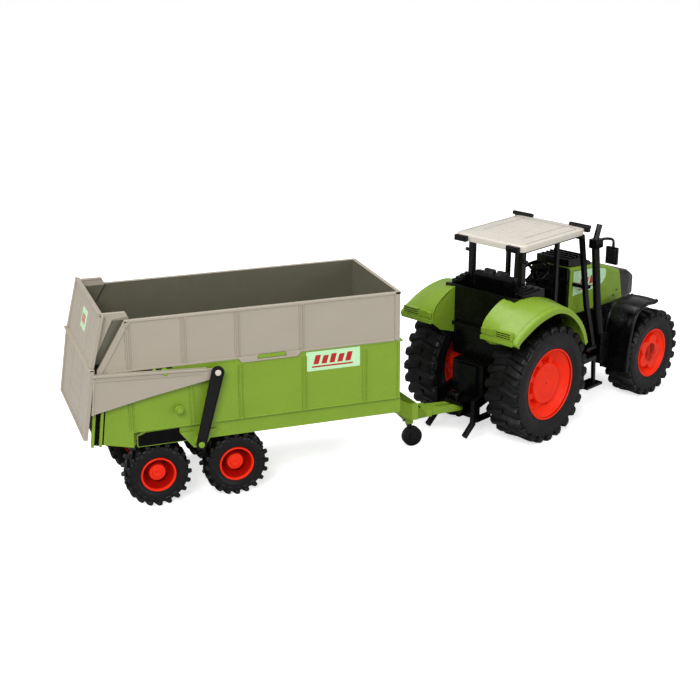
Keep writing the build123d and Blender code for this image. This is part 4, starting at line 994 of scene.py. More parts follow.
@dataclass
class LoadBed:
    """The green bed with its paired ribs, flanges and sticker, and the grey extension on top."""

    half: float = 53.0
    wall: float = 2.2
    front_x: float = -76.0
    fold_z: float = 67.4
    top_z: float = 117.5
    skirt_x: float = -294.0
    rear_low: Pair = (-326.3, 62.5)
    rear_top: Pair = (-318.9, 121.0)
    ribs_x: tuple[float, ...] = (-295.0, -247.8, -208.5, -156.5, -105.6)

    def build(self) -> None:
        """Makes the bed, then dresses what stays as the CAD has it."""
        self.tub()
        self.extension()
        for side, side_name in ((1, "left"), (-1, "right")):
            StickerSheet(f"bed_sticker_{side_name}", "bed", TRAILER, (-155.0, 99.9), (45.0, 16.2), 5).build(
                side * self.half, side)
            self.wheel_arch_shadow(side, side_name)
        dress("gate_pivot_pins", Coat.GREEN, 0.3)

    @staticmethod
    def wheel_arch_shadow(side: int, side_name: str) -> None:
        """A painted shadow on the chassis rail over the rear wheel: a thin black plate where shade falls.

        Args:
            side: 1 for left, -1 for right.
            side_name: The side's word in the piece's name.
        """
        stock = Stock(TRAILER)
        stock.prism([(-290.6, 54.6), (-290.6, 63.0), (-284.0, 65.4), (-258.0, 65.8), (-258.0, 62.4),
                     (-252.6, 54.6)], *span(side, 50.0, 50.75))
        stock.cast(f"rail_painted_shadow_{side_name}", "trailer_chassis", Slot.DARK, [Coat.SHADOW_BLACK], edge=0)

    def rear_x(self, z: float) -> float:
        """X of the slanted rear edge at a height."""
        share = (z - self.rear_low[1]) / (self.rear_top[1] - self.rear_low[1])
        return self.rear_low[0] + share * (self.rear_top[0] - self.rear_low[0])

    def tub(self) -> None:
        """The walls, floor and everything moulded on them."""
        stock = Stock(TRAILER)
        inner = self.half - self.wall
        outline = [(self.front_x, self.fold_z), (self.front_x, self.top_z),
                   (self.rear_x(self.top_z), self.top_z), self.rear_low, (self.skirt_x, 55.0),
                   (self.skirt_x, self.fold_z)]
        for side in (-1, 1):
            stock.prism(outline, *span(side, inner, self.half))
            self.side_details(stock, side)
        stock.block((self.rear_x(70.0) + 0.5, -inner - 0.2, self.fold_z),
                    (self.front_x - 0.2, inner + 0.2, 69.8))
        stock.block((self.front_x - self.wall, -inner - 0.2, self.fold_z + 0.2),
                    (self.front_x, inner + 0.2, self.top_z))
        for y in (-34.0, -11.5, 11.5, 34.0):
            stock.block((self.front_x - 0.4, y - 1.0, self.fold_z + 8.0),
                        (self.front_x + 0.8, y + 1.0, 108.0))
        for z in (self.fold_z + 4.0, self.top_z - 8.0):
            stock.block((self.front_x - 0.6, -46.0, z), (self.front_x + 1.8, 46.0, z + 3.0))
        stock.block((self.front_x - 0.5, -self.half, self.top_z - 1.5),
                    (self.front_x + 3.0, self.half, self.top_z))
        # Painted shade: the bed's inner faces and the floor's underside are darkened by their finish, and
        # skin 1 is painted shadow between the end flanges.
        stock.cast("bed_tub_moulded", "bed", Slot.GREEN, [Coat.GREEN_SHADED_INSIDE, Coat.SHADOW_BLACK], ("bed_tub",),
                   edge=0.32)

    def side_details(self, stock: Stock, side: int) -> None:
        """Paired ribs, end flanges with painted shadow strips between them, edge strips, stop, lug and bosses
        of one side.

        Args:
            stock: The bed's blank.
            side: 1 for left, -1 for right.
        """
        for rib_x in self.ribs_x:
            for edge_x in (rib_x - 1.9, rib_x + 1.1):
                stock.side_block(side, (edge_x, edge_x + 0.8), (52.6, 53.85), (self.fold_z + 1.6, 113.4))
        for low_x, high_x, reach in ((-321.4, -319.2, 55.2), (-327.4, -325.2, 54.8)):
            stock.prism([(low_x, 60.6), (high_x, 59.8), (high_x + 3.4, 90.0), (low_x + 3.4, 90.0)],
                        *span(side, 52.0, reach))
        # Painted shadow: black strips on the wall between the end flanges.
        for low_x, high_x in ((-325.2, -321.4), (-319.2, -317.6)):
            stock.prism([(low_x, 61.4), (high_x, 60.6), (high_x + 3.4, 90.0), (low_x + 3.4, 90.0)],
                        *span(side, 52.4, 53.2), 1)
        stock.side_block(side, (self.front_x - 1.6, self.front_x + 0.6), (52.4, 53.9),
                         (self.fold_z + 0.4, self.top_z - 0.2))
        stock.prism([(-319.6, self.top_z - 1.3), (self.front_x - 1.0, self.top_z - 1.3),
                     (self.front_x - 1.0, self.top_z), (-319.4, self.top_z)],
                    *span(side, 52.4, 53.5))
        stock.prism([(-294.2, self.fold_z), (self.front_x, self.fold_z), (self.front_x, self.fold_z + 1.0),
                     (-294.2, self.fold_z + 1.0)], *span(side, 52.4, 53.3))
        stock.side_block(side, (-194.4, -171.7), (52.5, 54.4), (116.2, 119.2))
        stock.pin((-258.6, 83.0), 3.6, *span(side, 52.5, 58.0))
        stock.pin((-258.6, 83.0), 2.2, *span(side, 57.0, 60.0))
        stock.pin((-268.4, 114.2), 3.2, *span(side, 50.6, 55.4))
        stock.pin((-276.0, 116.0), 1.6, *span(side, 52.5, 54.6))
        lug = [(-291.0, 67.9), (-279.0, 67.9), (-281.0, 54.0), (-289.0, 54.0)]
        stock.prism(lug, *span(side, 40.5, 43.5))

    def extension(self) -> None:
        """The grey side extension: walls, framed edges, ribs and the flap that clips over the bed."""
        stock = Stock(TRAILER)
        inner = self.half - self.wall
        top_z, rear_top_x = 158.0, -296.6
        outline = [(self.front_x, self.top_z), (self.front_x, top_z), (rear_top_x, top_z), self.rear_top,
                   (self.rear_x(self.top_z), self.top_z)]
        for side in (-1, 1):
            stock.prism(outline, *span(side, inner, self.half))
            skin = span(side, 52.6, 53.9)
            for rib_x in (-294.8, -252.5, -210.3, -158.4):
                for edge_x in (rib_x - 1.9, rib_x + 1.1):
                    stock.block((edge_x, skin[0], self.top_z + 2.0), (edge_x + 0.8, skin[1], top_z - 1.6))
            stock.block((self.front_x - 4.2, skin[0], self.top_z), (self.front_x, skin[1], top_z))
            stock.block((-311.5, skin[0], self.top_z), (self.front_x - 3.0, skin[1], self.top_z + 1.7))
            stock.prism([(self.front_x, top_z - 2.0), (self.front_x, top_z), (rear_top_x, top_z),
                         (rear_top_x - 1.2, top_z - 2.0)], *skin)
            stock.prism([(rear_top_x, top_z), (rear_top_x + 3.6, top_z - 2.2), (-315.4, self.top_z + 0.6),
                         (-319.2, self.top_z + 0.6), self.rear_top], *skin)
            self.flap(stock, side)
        stock.block((self.front_x - self.wall, -inner - 0.2, self.top_z), (self.front_x, inner + 0.2, top_z))
        stock.block((self.front_x - 4.4, -40.0, 110.0),
                    (self.front_x - self.wall + 0.1, 40.0, self.top_z + 0.3))
        for y in (-26.0, 0.0, 26.0):
            stock.block((self.front_x - 0.2, y - 0.9, self.top_z + 3.0),
                        (self.front_x + 0.7, y + 0.9, top_z - 3.0))
        stock.block((self.front_x - 0.2, -self.half, top_z - 2.2), (self.front_x + 0.9, self.half, top_z))
        # Painted shade: the extension's inner faces are darkened by their finish, and skin 1 is a painted
        # shadow strip under its edge.
        stock.cast("bed_extension_moulded", "bed", Slot.GREY, [Coat.GREY_SHADED_INSIDE, Coat.SHADOW_BLACK], ("bed_extension",),
                   edge=0.3)

    def flap(self, stock: Stock, side: int) -> None:
        """The clip flap as a frame round the slot that the bed's lug looks through, and a painted shadow
        strip under the extension's rear edge.

        Args:
            stock: The extension's blank.
            side: 1 for left, -1 for right.
        """
        skin = span(side, 53.05, 54.3)
        edge_z = self.top_z + 1.7
        stock.prism([(-211.5, edge_z), (-194.7, edge_z), (-194.7, 114.2), (-207.4, 114.2)], *skin)
        stock.prism([(-171.4, edge_z), (-158.0, edge_z), (-162.2, 114.2), (-171.4, 114.2)], *skin)
        stock.block((-194.8, skin[0], 114.2), (-171.3, skin[1], 115.9))
        # Painted shadow: a thin black strip along the gap under the extension's rear edge.
        gap_shadow_y = span(side, 53.02, 53.6)
        stock.prism([(-318.0, 116.0), (-262.0, 116.4), (-262.0, 117.5), (-318.0, 117.5)], *gap_shadow_y, 1)


@dataclass
class Tailgate:
    """The two-part gate with its side arms, the bars that steer it and their pins."""

    low: Pair = (-332.0, 68.0)
    mid: Pair = (-323.5, 123.5)
    top: Pair = (-313.7, 164.0)
    half: float = 57.8

    def build(self) -> None:
        """Makes the gate panels and dresses the bars and pins."""
        self.lower()
        self.upper()
        for side_name in ("left", "right"):
            self.link_bar(1 if side_name == "left" else -1, side_name)
        dress("link_top_pins", Coat.CREAM, 0.4)
        dress("link_low_pins", Coat.GREEN, 0.4)

    @staticmethod
    def shifted(start: Pair, end: Pair,
                depth: float) -> tuple[Pair, Pair]:
        """Moves an edge forward, square to itself, by a depth."""
        length = math.dist(start, end)
        move_x = depth * (end[1] - start[1]) / length
        move_z = -depth * (end[0] - start[0]) / length
        return (start[0] + move_x, start[1] + move_z), (end[0] + move_x, end[1] + move_z)

    def slat(self, stock: Stock, ends: tuple[Pair, Pair], shares: Pair, y_span: Pair, depth: float,
             skin: int = 0) -> None:
        """A raised strip on the outer face of a panel.

        Args:
            stock: The gate's blank.
            ends: The panel's lower and upper outer edge as (x, z).
            shares: Start and end of the strip as shares of the panel's height.
            y_span: Its two Y.
            depth: How far it stands out.
            skin: Its material index.
        """
        face = self.shifted(*ends, -depth)
        root = self.shifted(*ends, 0.3)

        def at(edge: tuple[Pair, Pair], share: float) -> Pair:
            """The point at a share of an edge's length."""
            p, q = edge
            return p[0] + share * (q[0] - p[0]), p[1] + share * (q[1] - p[1])

        outline = [at(face, shares[0]), at(face, shares[1]), at(root, shares[1]), at(root, shares[0])]
        stock.prism(outline, *sorted(y_span), skin)

    def lower(self) -> None:
        """The lower panel with its frame, faint upright ribs and the two side arms."""
        stock = Stock(TRAILER)
        inner_low, inner_mid = self.shifted(self.low, self.mid, 2.2)
        stock.prism([self.low, self.mid, inner_mid, inner_low], -self.half, self.half)
        ends = (self.low, self.mid)
        for side in (-1, 1):
            self.slat(stock, ends, (0.0, 1.0), (side * 52.8, side * self.half), 1.2)
            self.slat(stock, ends, (0.04, 0.96), (side * 21.0, side * 22.2), 0.5)
            self.arm(stock, side, inner_mid)
        self.slat(stock, ends, (0.0, 0.035), (-53.0, 53.0), 1.2)
        self.slat(stock, ends, (0.3, 0.325), (-20.6, 20.6), 0.4)
        self.slat(stock, ends, (0.62, 0.645), (-20.6, 20.6), 0.4)
        stock.block((self.mid[0] - 3.0, -self.half, self.mid[1] - 1.6),
                    (self.mid[0] + 1.8, self.half, self.mid[1]))
        stock.cast("gate_lower_moulded", "tailgate", Slot.GREY, [Coat.GREY], ("gate_lower",), edge=0.3)

    def arm(self, stock: Stock, side: int, inner_mid: Pair) -> None:
        """One side arm with the flange along its top.

        Args:
            stock: The gate's blank.
            side: 1 for left, -1 for right.
            inner_mid: Inner upper corner of the lower panel.
        """
        outline = [(inner_mid[0] - 0.4, 118.6), (-231.0, 113.6), (-224.6, 112.6), (-222.6, 109.8),
                   (-225.0, 106.4), (-238.0, 104.2), (-281.0, 96.7), (inner_mid[0] - 4.6, 87.4)]
        stock.prism(outline, *span(side, 55.8, 57.8))
        stock.prism([(-324.0, 117.2), (-324.0, 119.2), (-236.0, 114.4), (-236.0, 112.8)],
                    *span(side, 54.2, 59.0))
        stock.prism([(-322.0, 113.6), (-322.0, 115.0), (-240.0, 110.8), (-240.0, 110.0)],
                    *span(side, 57.4, 58.5))
        stock.prism([(-325.6, 87.4), (-324.2, 87.2), (-321.6, 116.0), (-323.0, 116.0)],
                    *span(side, 57.4, 58.5))

    def upper(self) -> None:
        """The upper panel with its frame, inner wings, an inboard plate of painted shade and a small sticker.
        """
        stock = Stock(TRAILER)
        inner_foot, inner_top = self.shifted(self.mid, self.top, 2.2)
        stock.prism([self.mid, self.top, inner_top, (inner_foot[0], self.mid[1])], -55.0, 55.0)
        ends = (self.mid, self.top)
        for side in (-1, 1):
            self.slat(stock, ends, (0.0, 1.0), (side * 50.6, side * 55.0), 1.2)
            self.slat(stock, ends, (0.05, 0.95), (side * 21.0, side * 22.2), 0.5)
            wing = [(inner_top[0] - 0.6, 163.6), (-294.8, 163.4), (-293.4, 160.0), (-296.4, 159.2),
                    (-305.0, 158.4), (inner_foot[0] + 1.0, 127.5), (inner_foot[0], 127.5)]
            stock.prism(wing, *span(side, 50.4, 49.2))
            # Painted shade: this inboard plate takes the shaded-inside finish, dark where shade falls behind
            # the wings.
            shaded_plate = [(inner_top[0] - 0.6, 163.0), (-295.4, 162.8), (-292.4, 158.6), (-312.4, 124.4),
                     (inner_foot[0], 124.4)]
            stock.prism(shaded_plate, *span(side, 49.3, 48.3), 1)
            stock.prism([(inner_top[0] - 0.6, 162.2), (inner_top[0] - 0.6, 163.9), (-295.2, 163.7),
                         (-294.8, 162.2)], *span(side, 50.5, 47.8))
        self.slat(stock, ends, (0.965, 1.0), (-55.0, 55.0), 1.2)
        self.slat(stock, ends, (0.36, 0.74), (-9.0, 9.0), 0.35, 2)
        for i in range(3):
            self.slat(stock, ends, (0.47, 0.64), (-6.0 + 4.4 * i, -3.0 + 4.4 * i), 0.45, 3)
        stock.cast("gate_upper_moulded", "tailgate", Slot.GREY, [Coat.GREY, Coat.GREY_SHADED_INSIDE, Coat.MINT, Coat.RED],
                   ("gate_upper",), edge=0.3)

    @staticmethod
    def link_bar(side: int, side_name: str) -> None:
        """One black bar with raised edges, narrow eyes and the pins in them.

        Args:
            side: 1 for left, -1 for right.
            side_name: The side's word in the piece's name.
        """
        stock = Stock(TRAILER)
        top, low = Vector((-228.2, 110.8)), Vector((-243.2, 53.3))
        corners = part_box(f"link_bar_{side_name}")
        reach = [side * (corner[1] / MM - TRAILER.translation.y / MM) for corner in corners]
        near, far = side * min(reach), side * (max(reach) - 0.5)
        aim = math.atan2(low.y - top.y, low.x - top.x)
        outline = []
        for centre, r, start in ((top, 5.0, aim + 0.5 * math.pi), (low, 4.0, aim - 0.5 * math.pi)):
            for i in range(13):
                angle = start + math.pi * i / 12
                outline.append((centre.x + r * math.cos(angle), centre.y + r * math.sin(angle)))
        stock.prism(outline, *sorted((near, far)))
        along = (low - top).normalized()
        across = Vector((-along.y, along.x))
        for shift, low_shift in ((4.2, 3.3), (-4.2, -3.3)):
            start, end = top + 4.0 * along + shift * across, low - 3.4 * along + low_shift * across
            rib = [start - 0.45 * across, start + 0.45 * across, end + 0.45 * across, end - 0.45 * across]
            stock.prism([tuple(corner) for corner in rib], *sorted((far, far + side * 0.5)))
        for centre, wide, hollow in ((top, 4.9, 3.9), (low, 3.9, 3.0)):
            y = sorted((far, far + side * 0.6))
            stock.lathe(tuple(centre),
                        [(y[0], hollow), (y[0], wide), (y[1], wide - 0.2), (y[1], hollow + 0.2)], 40)
        stock.pin(tuple(top), 2.3, *sorted((far, far + side * 0.7)), 28, 1)
        stock.pin(tuple(low), 2.2, *sorted((far, far + side * 0.7)), 28, 2)
        stock.cast(f"link_bar_{side_name}_moulded", f"link_bar_{side_name}", Slot.BLACK,
                   [Coat.BLACK, Coat.CREAM, Coat.GREEN], (f"link_bar_{side_name}",), edge=0.2)


# --- Tractor bodywork -------------------------------------------------------------------------------------

def toward(point: Pair, depth: float, centre: Pair = REAR_AXLE) -> Pair:
    """Moves an (x, z) point toward a centre by a depth."""
    reach = math.dist(point, centre)
    share = (reach - depth) / reach
    return centre[0] + share * (point[0] - centre[0]), centre[1] + share * (point[1] - centre[1])


@dataclass
class RearFender:
    """A rounded rear fender with an arch lip and a light cluster on its tail."""

    side: int
    side_name: str
    sheet: float = 2.2
    outer: tuple[Pair, ...] = (
        (-2.5, 101.5), (-2.5, 105.0), (13.6, 113.2), (27.0, 118.4), (41.6, 121.4), (56.7, 122.3),
        (72.8, 116.7), (88.0, 104.5), (96.4, 92.8), (101.1, 80.6))
    inner: tuple[Pair, ...] = (
        (-2.5, 101.5), (-2.5, 114.0), (11.0, 124.0), (27.0, 130.0), (43.0, 130.2), (58.0, 127.0),
        (77.0, 120.6), (93.0, 108.0), (100.6, 96.0), (104.0, 82.0))

    def build(self) -> None:
        """Makes the shell with everything moulded on it."""
        stock = Stock(TRACTOR)
        outer, inner = eased(list(self.outer), 2), eased(list(self.inner), 2)
        loops = []
        for far, near in zip(outer, inner):
            start_y = 27.0 if near[0] < 26.6 else 38.1
            loops.append(self.section(far, near, start_y))
        stock.rings(loops)
        self.inner_wall(stock, inner)
        self.tail_lights(stock)
        self.cap(stock)
        stock.cast(f"rear_fender_{self.side_name}_moulded", "tractor", Slot.GREEN, [Coat.GREEN, Coat.BLACK],
                   (f"rear_fender_{self.side_name}",), edge=0.3, smooth=38.0)

    def section(self, far: Pair, near: Pair,
                start_y: float) -> list[Triple]:
        """One closed section across the fender.

        Args:
            far: Point of the outer arch.
            near: Point of the inner arch.
            start_y: Where the section starts from the middle of the tractor.

        Returns:
            The section's points, over the top and back underneath.
        """
        over, under = [], []
        for y, lift in ((start_y, 0.0), (43.2, 0.3), (44.4, 0.0), (50.0, 0.4), (56.0, 0.5), (60.4, 0.0),
                        (60.9, 0.9), (62.6, 1.3), (64.4, 1.0), (65.0, 0.2)):
            share = (y - 27.0) / 38.0
            swell = 1.6 * math.sin(math.pi * min(max(share, 0.0), 1.0))
            point = (near[0] + share * (far[0] - near[0]), near[1] + share * (far[1] - near[1]))
            raised = toward(toward(point, -(lift + swell)), 0.5 if y > 44.0 else 0.0)
            over.append((raised[0], self.side * y, raised[1]))
            depth = self.sheet if y < 60.5 else self.sheet + 2.0
            lowered = toward(raised, depth)
            under.append((lowered[0], self.side * y, lowered[1]))
        return over + under[::-1]

    def inner_wall(self, stock: Stock, inner: Outline) -> None:
        """The green wall beside the cab, behind the cab's own corner."""
        roof = [toward(point, 0.6) for point in inner if point[0] < 26.6]
        outline = roof + [(26.8, 129.0), (26.8, 87.0), (8.0, 93.0)]
        stock.prism(outline, *span(self.side, 27.0, 28.8))

    def tail_lights(self, stock: Stock) -> None:
        """The ledge and the light cluster over it, with a black block behind its ribs as painted shadow in
        the slots.
        """
        def tail(low_x: float, y_span: Pair, z_span: Pair, skin: int = 0) -> None:
            """One block that reaches back from the fender's tail."""
            stock.side_block(self.side, (low_x, 0.5), y_span, z_span, skin)

        tail(-5.2, (27.6, 61.5), (100.9, 104.4))
        tail(-4.6, (29.0, 60.6), (104.4, 105.2))
        tail(-3.7, (28.0, 60.0), (105.2, 111.2))
        tail(-4.5, (28.0, 33.0), (106.0, 111.0))
        tail(-4.5, (34.4, 41.2), (105.6, 111.6))
        # Painted shadow: the black block behind the ribs darkens the slots between them.
        tail(-3.8, (42.4, 59.4), (105.6, 111.0), 1)
        for z in (105.4, 107.2, 109.0, 110.8):
            tail(-4.5, (42.4, 59.4), (z, z + 0.9))
        for y_span in ((42.4, 43.4), (58.6, 59.6)):
            tail(-4.5, y_span, (105.4, 111.7))

    def cap(self, stock: Stock) -> None:
        """The low stepped black cap along the foot of the cab's pillars."""
        for low_x, high_x, y_span, z_span in ((37.0, 68.0, (29.8, 39.4), (124.0, 131.6)),
                                              (40.0, 64.0, (29.8, 37.8), (131.0, 133.4)),
                                              (43.0, 58.0, (29.8, 35.6), (133.0, 135.4))):
            stock.side_block(self.side, (low_x, high_x), y_span, z_span, 1)


@dataclass
class FrontGuard:
    """A glossy black front mudguard with ridged edges and a turned-up tip."""

    side: int
    side_name: str
    line: tuple[Pair, ...] = (
        (214.5, 94.6), (209.0, 93.6), (198.0, 95.0), (188.0, 94.2), (180.2, 89.4), (174.6, 80.0),
        (171.4, 68.0), (168.6, 50.0), (168.0, 33.4))

    def build(self) -> None:
        """Makes the guard with its bracket."""
        stock = Stock(TRACTOR)
        loops = []
        for point in eased(list(self.line), 2):
            over, under = [], []
            for y, lift in ((34.6, 0.0), (35.4, 0.7), (36.6, 0.7), (37.2, 0.0), (43.0, 0.5), (50.0, 0.7),
                            (57.0, 0.5), (61.2, 0.0), (61.7, 0.8), (63.6, 0.8), (64.5, -0.2)):
                raised = toward(point, -lift, FRONT_AXLE)
                lowered = toward(point, 2.2, FRONT_AXLE)
                over.append((raised[0], self.side * y, raised[1]))
                under.append((lowered[0], self.side * y, lowered[1]))
            loops.append(over + under[::-1])
        stock.rings(loops)
        bracket = [(208.0, 52.0), (218.0, 52.0), (206.0, 92.6), (190.0, 93.6), (183.0, 90.0)]
        stock.prism(bracket, *span(self.side, 32.0, 34.8))
        stock.cast(f"front_fender_{self.side_name}_moulded", "tractor", Slot.BLACK, [Coat.BLACK],
                   (f"front_fender_{self.side_name}",), edge=0.25, smooth=34.0)


@dataclass
class CabRoof:
    """The cream roof: a thin crowned slab with painted-shadow strips for its engraved lines, a dark seal and
    lamps on its corners.
    """

    rear_x: float = 36.4
    front_x: float = 130.0
    half: float = 38.0
    bottom_z: float = 168.2
    side_z: float = 174.2
    crown: float = 1.7

    def ring(self, inset: float, z: float) -> list[Triple]:
        """A rounded outline drawn in by an inset at a height."""
        corner = max(7.0 - 0.7 * inset, 0.8)
        points = []
        for cx, cy, start in ((self.front_x, self.half, 0), (self.rear_x, self.half, 90),
                              (self.rear_x, -self.half, 180), (self.front_x, -self.half, 270)):
            mid_x = cx - math.copysign(corner + inset, cx - 80.0)
            mid_y = cy - math.copysign(corner + inset, cy)
            for i in range(7):
                angle = math.radians(start + 15 * i)
                points.append((mid_x + corner * math.cos(angle), mid_y + corner * math.sin(angle), z))
        return points

    def top(self, inset: float) -> float:
        """Height of the roof's skin at a distance from its edge."""
        share = min(inset, 34.0) / 34.0
        return self.side_z + self.crown * math.sin(0.5 * math.pi * share ** 0.8)

    def build(self) -> None:
        """Makes the slab, painted-shadow strips for its engraved lines, the seal and the four lamps."""
        stock = Stock(TRACTOR)
        rings = [self.ring(1.6, self.bottom_z), self.ring(1.0, self.bottom_z + 0.3),
                 self.ring(0.1, self.side_z - 1.0), self.ring(0.3, self.side_z - 0.35)]
        insets = (0.8, 2.4, 4.0, 7.0, 11.0, 15.2, 20.0, 26.0, 33.0)
        rings += [self.ring(inset, self.top(inset)) for inset in insets]
        stock.rings(rings)
        self.lines(stock)
        stock.block((self.rear_x + 7.0, -self.half + 1.6, self.bottom_z - 0.9),
                    (self.front_x - 2.0, self.half - 1.6, self.bottom_z + 0.4), 1)
        stock.cast("cab_roof_moulded", "tractor", Slot.CREAM, [Coat.CREAM, Coat.BLACK, Coat.GROOVE_SHADOW],
                   ("cab_roof",), edge=0, smooth=38.0)
        self.lamps()

    def lines(self, stock: Stock) -> None:
        """The fine lines of the roof's panels, as dark strips of painted shadow that stand for their grooves.

        Args:
            stock: The roof's blank.
        """
        for y, start_x, end_x in ((-34.0, 46.0, 118.0), (-22.8, 58.0, 118.0), (22.8, 58.0, 118.0),
                                  (34.0, 46.0, 118.0)):
            z = self.top(self.half - abs(y))
            stock.block((start_x, y - 0.3, z - 0.4), (end_x, y + 0.3, z + 0.04), 2)
        steps = 34
        for i in range(steps):
            low_y, high_y = -34.2 + 68.4 * i / steps, -34.2 + 68.4 * (i + 1) / steps
            middle = 0.5 * (low_y + high_y)
            z = self.top(min(self.half - abs(middle), self.front_x - 118.2))
            stock.block((117.8, low_y, z - 0.4), (118.4, high_y, z + 0.06), 2)

    def lamps(self) -> None:
        """Rounded lamp bars over the front edge and lamp blocks on the rear corners."""
        rear, front = Stock(TRACTOR), Stock(TRACTOR)
        for side in (-1, 1):
            rear.side_block(side, (32.8, 36.8), (22.0, 34.8), (168.4, 173.6))
            rear.side_block(side, (32.2, 33.0), (23.0, 33.8), (169.4, 172.6))
            front.bar([(127.4, side * 20.6, 176.0), (127.4, side * 42.6, 176.0)], 1.9, 16)
            front.side_block(side, (126.4, 129.4), (24.0, 27.0), (173.8, 176.0))
            front.side_block(side, (127.0, 130.6), (36.0, 41.0), (171.0, 176.2))
        rear.cast("rear_roof_lights_moulded", "tractor", Slot.BLACK, [Coat.BLACK], ("rear_roof_lights",),
                  edge=0.7)
        front.cast("front_roof_lights_moulded", "tractor", Slot.BLACK, [Coat.BLACK], ("front_roof_lights",),
                   edge=0.25)


@dataclass
class Bonnet:
    """The green hood with its stickers and catches, and the dark nose ahead of it."""

    half: float = 22.0

    def build(self) -> None:
        """Dresses the hood and nose and adds what lies on them."""
        dress("hood", Coat.GREEN, 1.2)
        dress("nose_grille", Coat.DARK, 1.6)
        dress("nose_skirt", Coat.DARK, 0.8)
        dress("hood_air_box", Coat.BLACK, 0.6)
        for side, side_name in ((1, "left"), (-1, "right")):
            outline = [(136.0, 106.4), (174.0, 107.2)] + eased(
                [(174.0, 107.2), (183.0, 109.4), (187.6, 114.4), (188.6, 119.0), (187.0, 122.6)], 2) + [
                (170.0, 126.6), (136.0, 129.4)]
            sticker = StickerSheet(f"hood_sticker_{side_name}", "tractor", TRACTOR, (140.0, 107.0),
                                   (42.0, 17.0), 4)
            sticker.build(side * self.half, side, outline)
            self.catches(side, side_name)

    def catches(self, side: int, side_name: str) -> None:
        """Two small catches low on one side of the hood.

        Args:
            side: 1 for left, -1 for right.
            side_name: The side's word in the piece's name.
        """
        stock = Stock(TRACTOR)
        y = span(side, 21.7, 22.2)
        for x, z in ((206.0, 97.0), (201.0, 92.6)):
            stock.prism([(x, z), (x + 4.0, z - 0.4), (x + 4.0, z + 0.9), (x, z + 1.3)], *y)
        stock.cast(f"hood_slots_{side_name}", "tractor", Slot.DARK, [Coat.DARK], edge=0)


@dataclass
class Mirror:
    """The right mirror on its bent tube."""

    def build(self) -> None:
        """Makes the tube and the rounded housing."""
        stock = Stock(TRACTOR)
        stock.bar([(144.6, -42.2, 161.4), (149.0, -43.2, 161.8), (151.0, -46.0, 162.2), (151.4, -50.2, 162.4),
                   (151.4, -51.8, 161.4), (151.4, -52.2, 159.0), (151.4, -52.2, 154.0)], 1.35, 14)
        stock.block((149.8, -57.4, 139.6), (152.8, -45.4, 155.4))
        stock.block((149.3, -56.0, 141.2), (150.0, -46.8, 153.8), 1)
        stock.cast("mirror_right_moulded", "tractor", Slot.BLACK, [Coat.BLACK, Coat.DARK], ("mirror_right",),
                   edge=0.9)


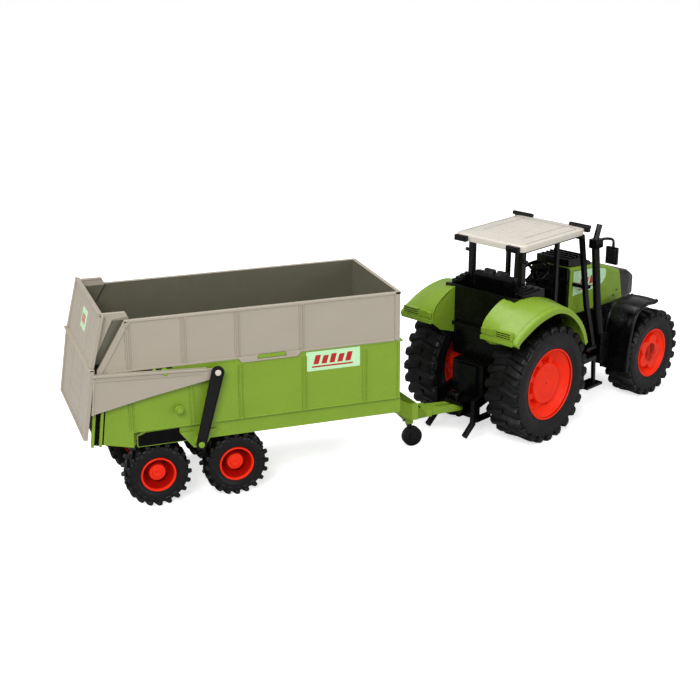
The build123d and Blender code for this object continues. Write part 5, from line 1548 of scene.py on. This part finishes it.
# --- Studio -----------------------------------------------------------------------------------------------
@dataclass
class Studio:
    """Plain pale floor, soft lights and the camera."""

    lens: float = 70.233
    camera_place: Triple = (-0.428824, -1.069727, 0.468515)
    pitch: float = 0.333073
    yaw: float = 0.347234
    sky: float = 0.34

    def build(self) -> None:
        """Sets the floor, the light and the camera."""
        self.floor()
        self.light()
        self.camera()
        bpy.context.scene.view_settings.view_transform = "Standard"

    def floor(self) -> None:
        """A wide pale floor that is whiter to the eye than to the object above it."""
        data = bpy.data.meshes.new("studio_floor")
        reach = 14.0
        data.from_pydata([(-reach, -reach, 0), (reach, -reach, 0), (reach, reach, 0), (-reach, reach, 0)], [],
                         [(0, 1, 2, 3)])
        piece = bpy.data.objects.new("studio_floor", data)
        bpy.context.scene.collection.objects.link(piece)
        material = bpy.data.materials.new("pale_floor")
        material.use_nodes = True
        tree = material.node_tree
        skin = tree.nodes["Principled BSDF"]
        skin.inputs["Roughness"].default_value = 0.9
        skin.inputs["Specular IOR Level"].default_value = 0.1
        skin.inputs["Emission Color"].default_value = (1.0, 1.0, 1.0, 1.0)
        path = tree.nodes.new("ShaderNodeLightPath")
        seen = tree.nodes.new("ShaderNodeMapRange")
        seen.inputs["To Min"].default_value = 0.0
        seen.inputs["To Max"].default_value = 0.64
        tree.links.new(path.outputs["Is Camera Ray"], seen.inputs["Value"])
        tree.links.new(seen.outputs["Result"], skin.inputs["Emission Strength"])
        tree.links.new(Finish.blend_tones(tree, path.outputs["Is Camera Ray"], (0.42, 0.42, 0.42),
                                          (0.95, 0.95, 0.95)), skin.inputs["Base Color"])
        data.materials.append(material)

    def light(self) -> None:
        """A dim white surround with one soft lamp above and three round the right and rear."""
        world = bpy.data.worlds.new("studio_surround")
        bpy.context.scene.world = world
        world.use_nodes = True
        tree = world.node_tree
        backdrop = tree.nodes["Background"]
        backdrop.inputs["Color"].default_value = (1.0, 1.0, 1.0, 1.0)
        path = tree.nodes.new("ShaderNodeLightPath")
        seen = tree.nodes.new("ShaderNodeMapRange")
        seen.inputs["To Min"].default_value = self.sky
        seen.inputs["To Max"].default_value = 1.0
        tree.links.new(path.outputs["Is Camera Ray"], seen.inputs["Value"])
        tree.links.new(seen.outputs["Result"], backdrop.inputs["Strength"])
        self.lamp("key_lamp", (-1.1, -1.7, 1.5), (-0.05, 0.0, 0.06), 0.9, 34.0)
        self.lamp("top_lamp", (0.1, 0.1, 1.9), (0.0, 0.0, 0.0), 1.3, 20.0)
        self.lamp("side_lamp", (-1.9, -0.2, 0.9), (-0.2, 0.0, 0.08), 0.8, 15.0)
        self.lamp("right_lamp", (1.2, -1.7, 0.5), (0.2, 0.0, 0.08), 1.0, 13.0)

    @staticmethod
    def lamp(name: str, place: Triple, target: Triple, size: float,
             watts: float) -> None:
        """Adds one square soft lamp.

        Args:
            name: The lamp's name.
            place: Where it hangs, in metres.
            target: What it points at.
            size: The side of its square.
            watts: Its power.
        """
        data = bpy.data.lights.new(name, "AREA")
        data.size = size
        data.energy = watts
        lamp = bpy.data.objects.new(name, data)
        lamp.location = place
        aim = Vector(target) - Vector(place)
        lamp.rotation_euler = aim.to_track_quat("-Z", "Y").to_euler()
        bpy.context.scene.collection.objects.link(lamp)

    def camera(self) -> None:
        """Places the camera behind the set and to its right, looking slightly down."""
        data = bpy.data.cameras.new("studio_camera")
        data.lens = self.lens
        data.sensor_width = 36.0
        data.clip_start, data.clip_end = 0.05, 50.0
        camera = bpy.data.objects.new("studio_camera", data)
        camera.location = self.camera_place
        camera.rotation_euler = (math.pi / 2 - self.pitch, 0.0, -self.yaw)
        bpy.context.scene.collection.objects.link(camera)
        bpy.context.scene.camera = camera


# --- Kept CAD pieces --------------------------------------------------------------------------------------
KEPT = {
    Coat.GREEN: ["trailer_chassis", "drawbar", "tip_hinge_pins"],
    Coat.BLACK: ["leg_bracket", "support_leg", "transmission_housing", "front_axle_beam", "cab_tub",
                 "cab_frame", "driver_seat", "dashboard", "steering_wheel", "exhaust_stack",
                 "exhaust_bracket", "steps", "rear_hitch", "lift_arm_left", "lift_arm_right"],
    Coat.STEEL: ["lift_shaft"],
}


def main() -> None:
    """Builds the studio and every sub-assembly in order, then dresses the kept CAD pieces."""
    Studio().build()
    for wheelset in (
        Wheelset("rear", "rear_wheels", TRACTOR, *REAR_AXLE, lip=31.9, width=34.0, face_y=63.4, lugs=24,
                 lug_height=2.4, lug_width=6.2, lug_sweep=4.6, style=RimStyle.PLATE),
        Wheelset("front", "front_wheels", TRACTOR, *FRONT_AXLE, lip=23.3, width=28.0, face_y=63.4, lugs=22,
                 lug_height=2.4, lug_width=5.2, lug_sweep=4.6, style=RimStyle.LOBES),
    ):
        wheelset.build()
    for name, axle_x in (("trailer_front", -211.8), ("trailer_rear", -275.0)):
        Wheelset(name, f"{name}_wheels", TRAILER, axle_x, radius=26.7, lip=14.2, width=22.0, face_y=47.4,
                 lugs=20, lug_height=2.3, lug_width=3.0, lug_sweep=4.5, style=RimStyle.DISH).build()
    LoadBed().build()
    Tailgate().build()
    for side, side_name in ((1, "left"), (-1, "right")):
        RearFender(side, side_name).build()
        FrontGuard(side, side_name).build()
    CabRoof().build()
    Bonnet().build()
    Mirror().build()
    for coat, nodes in KEPT.items():
        for node in nodes:
            dress(node, coat)


if __name__ == "__main__":
    logging.basicConfig(level=logging.INFO, format="%(name)s: %(message)s")
    main()
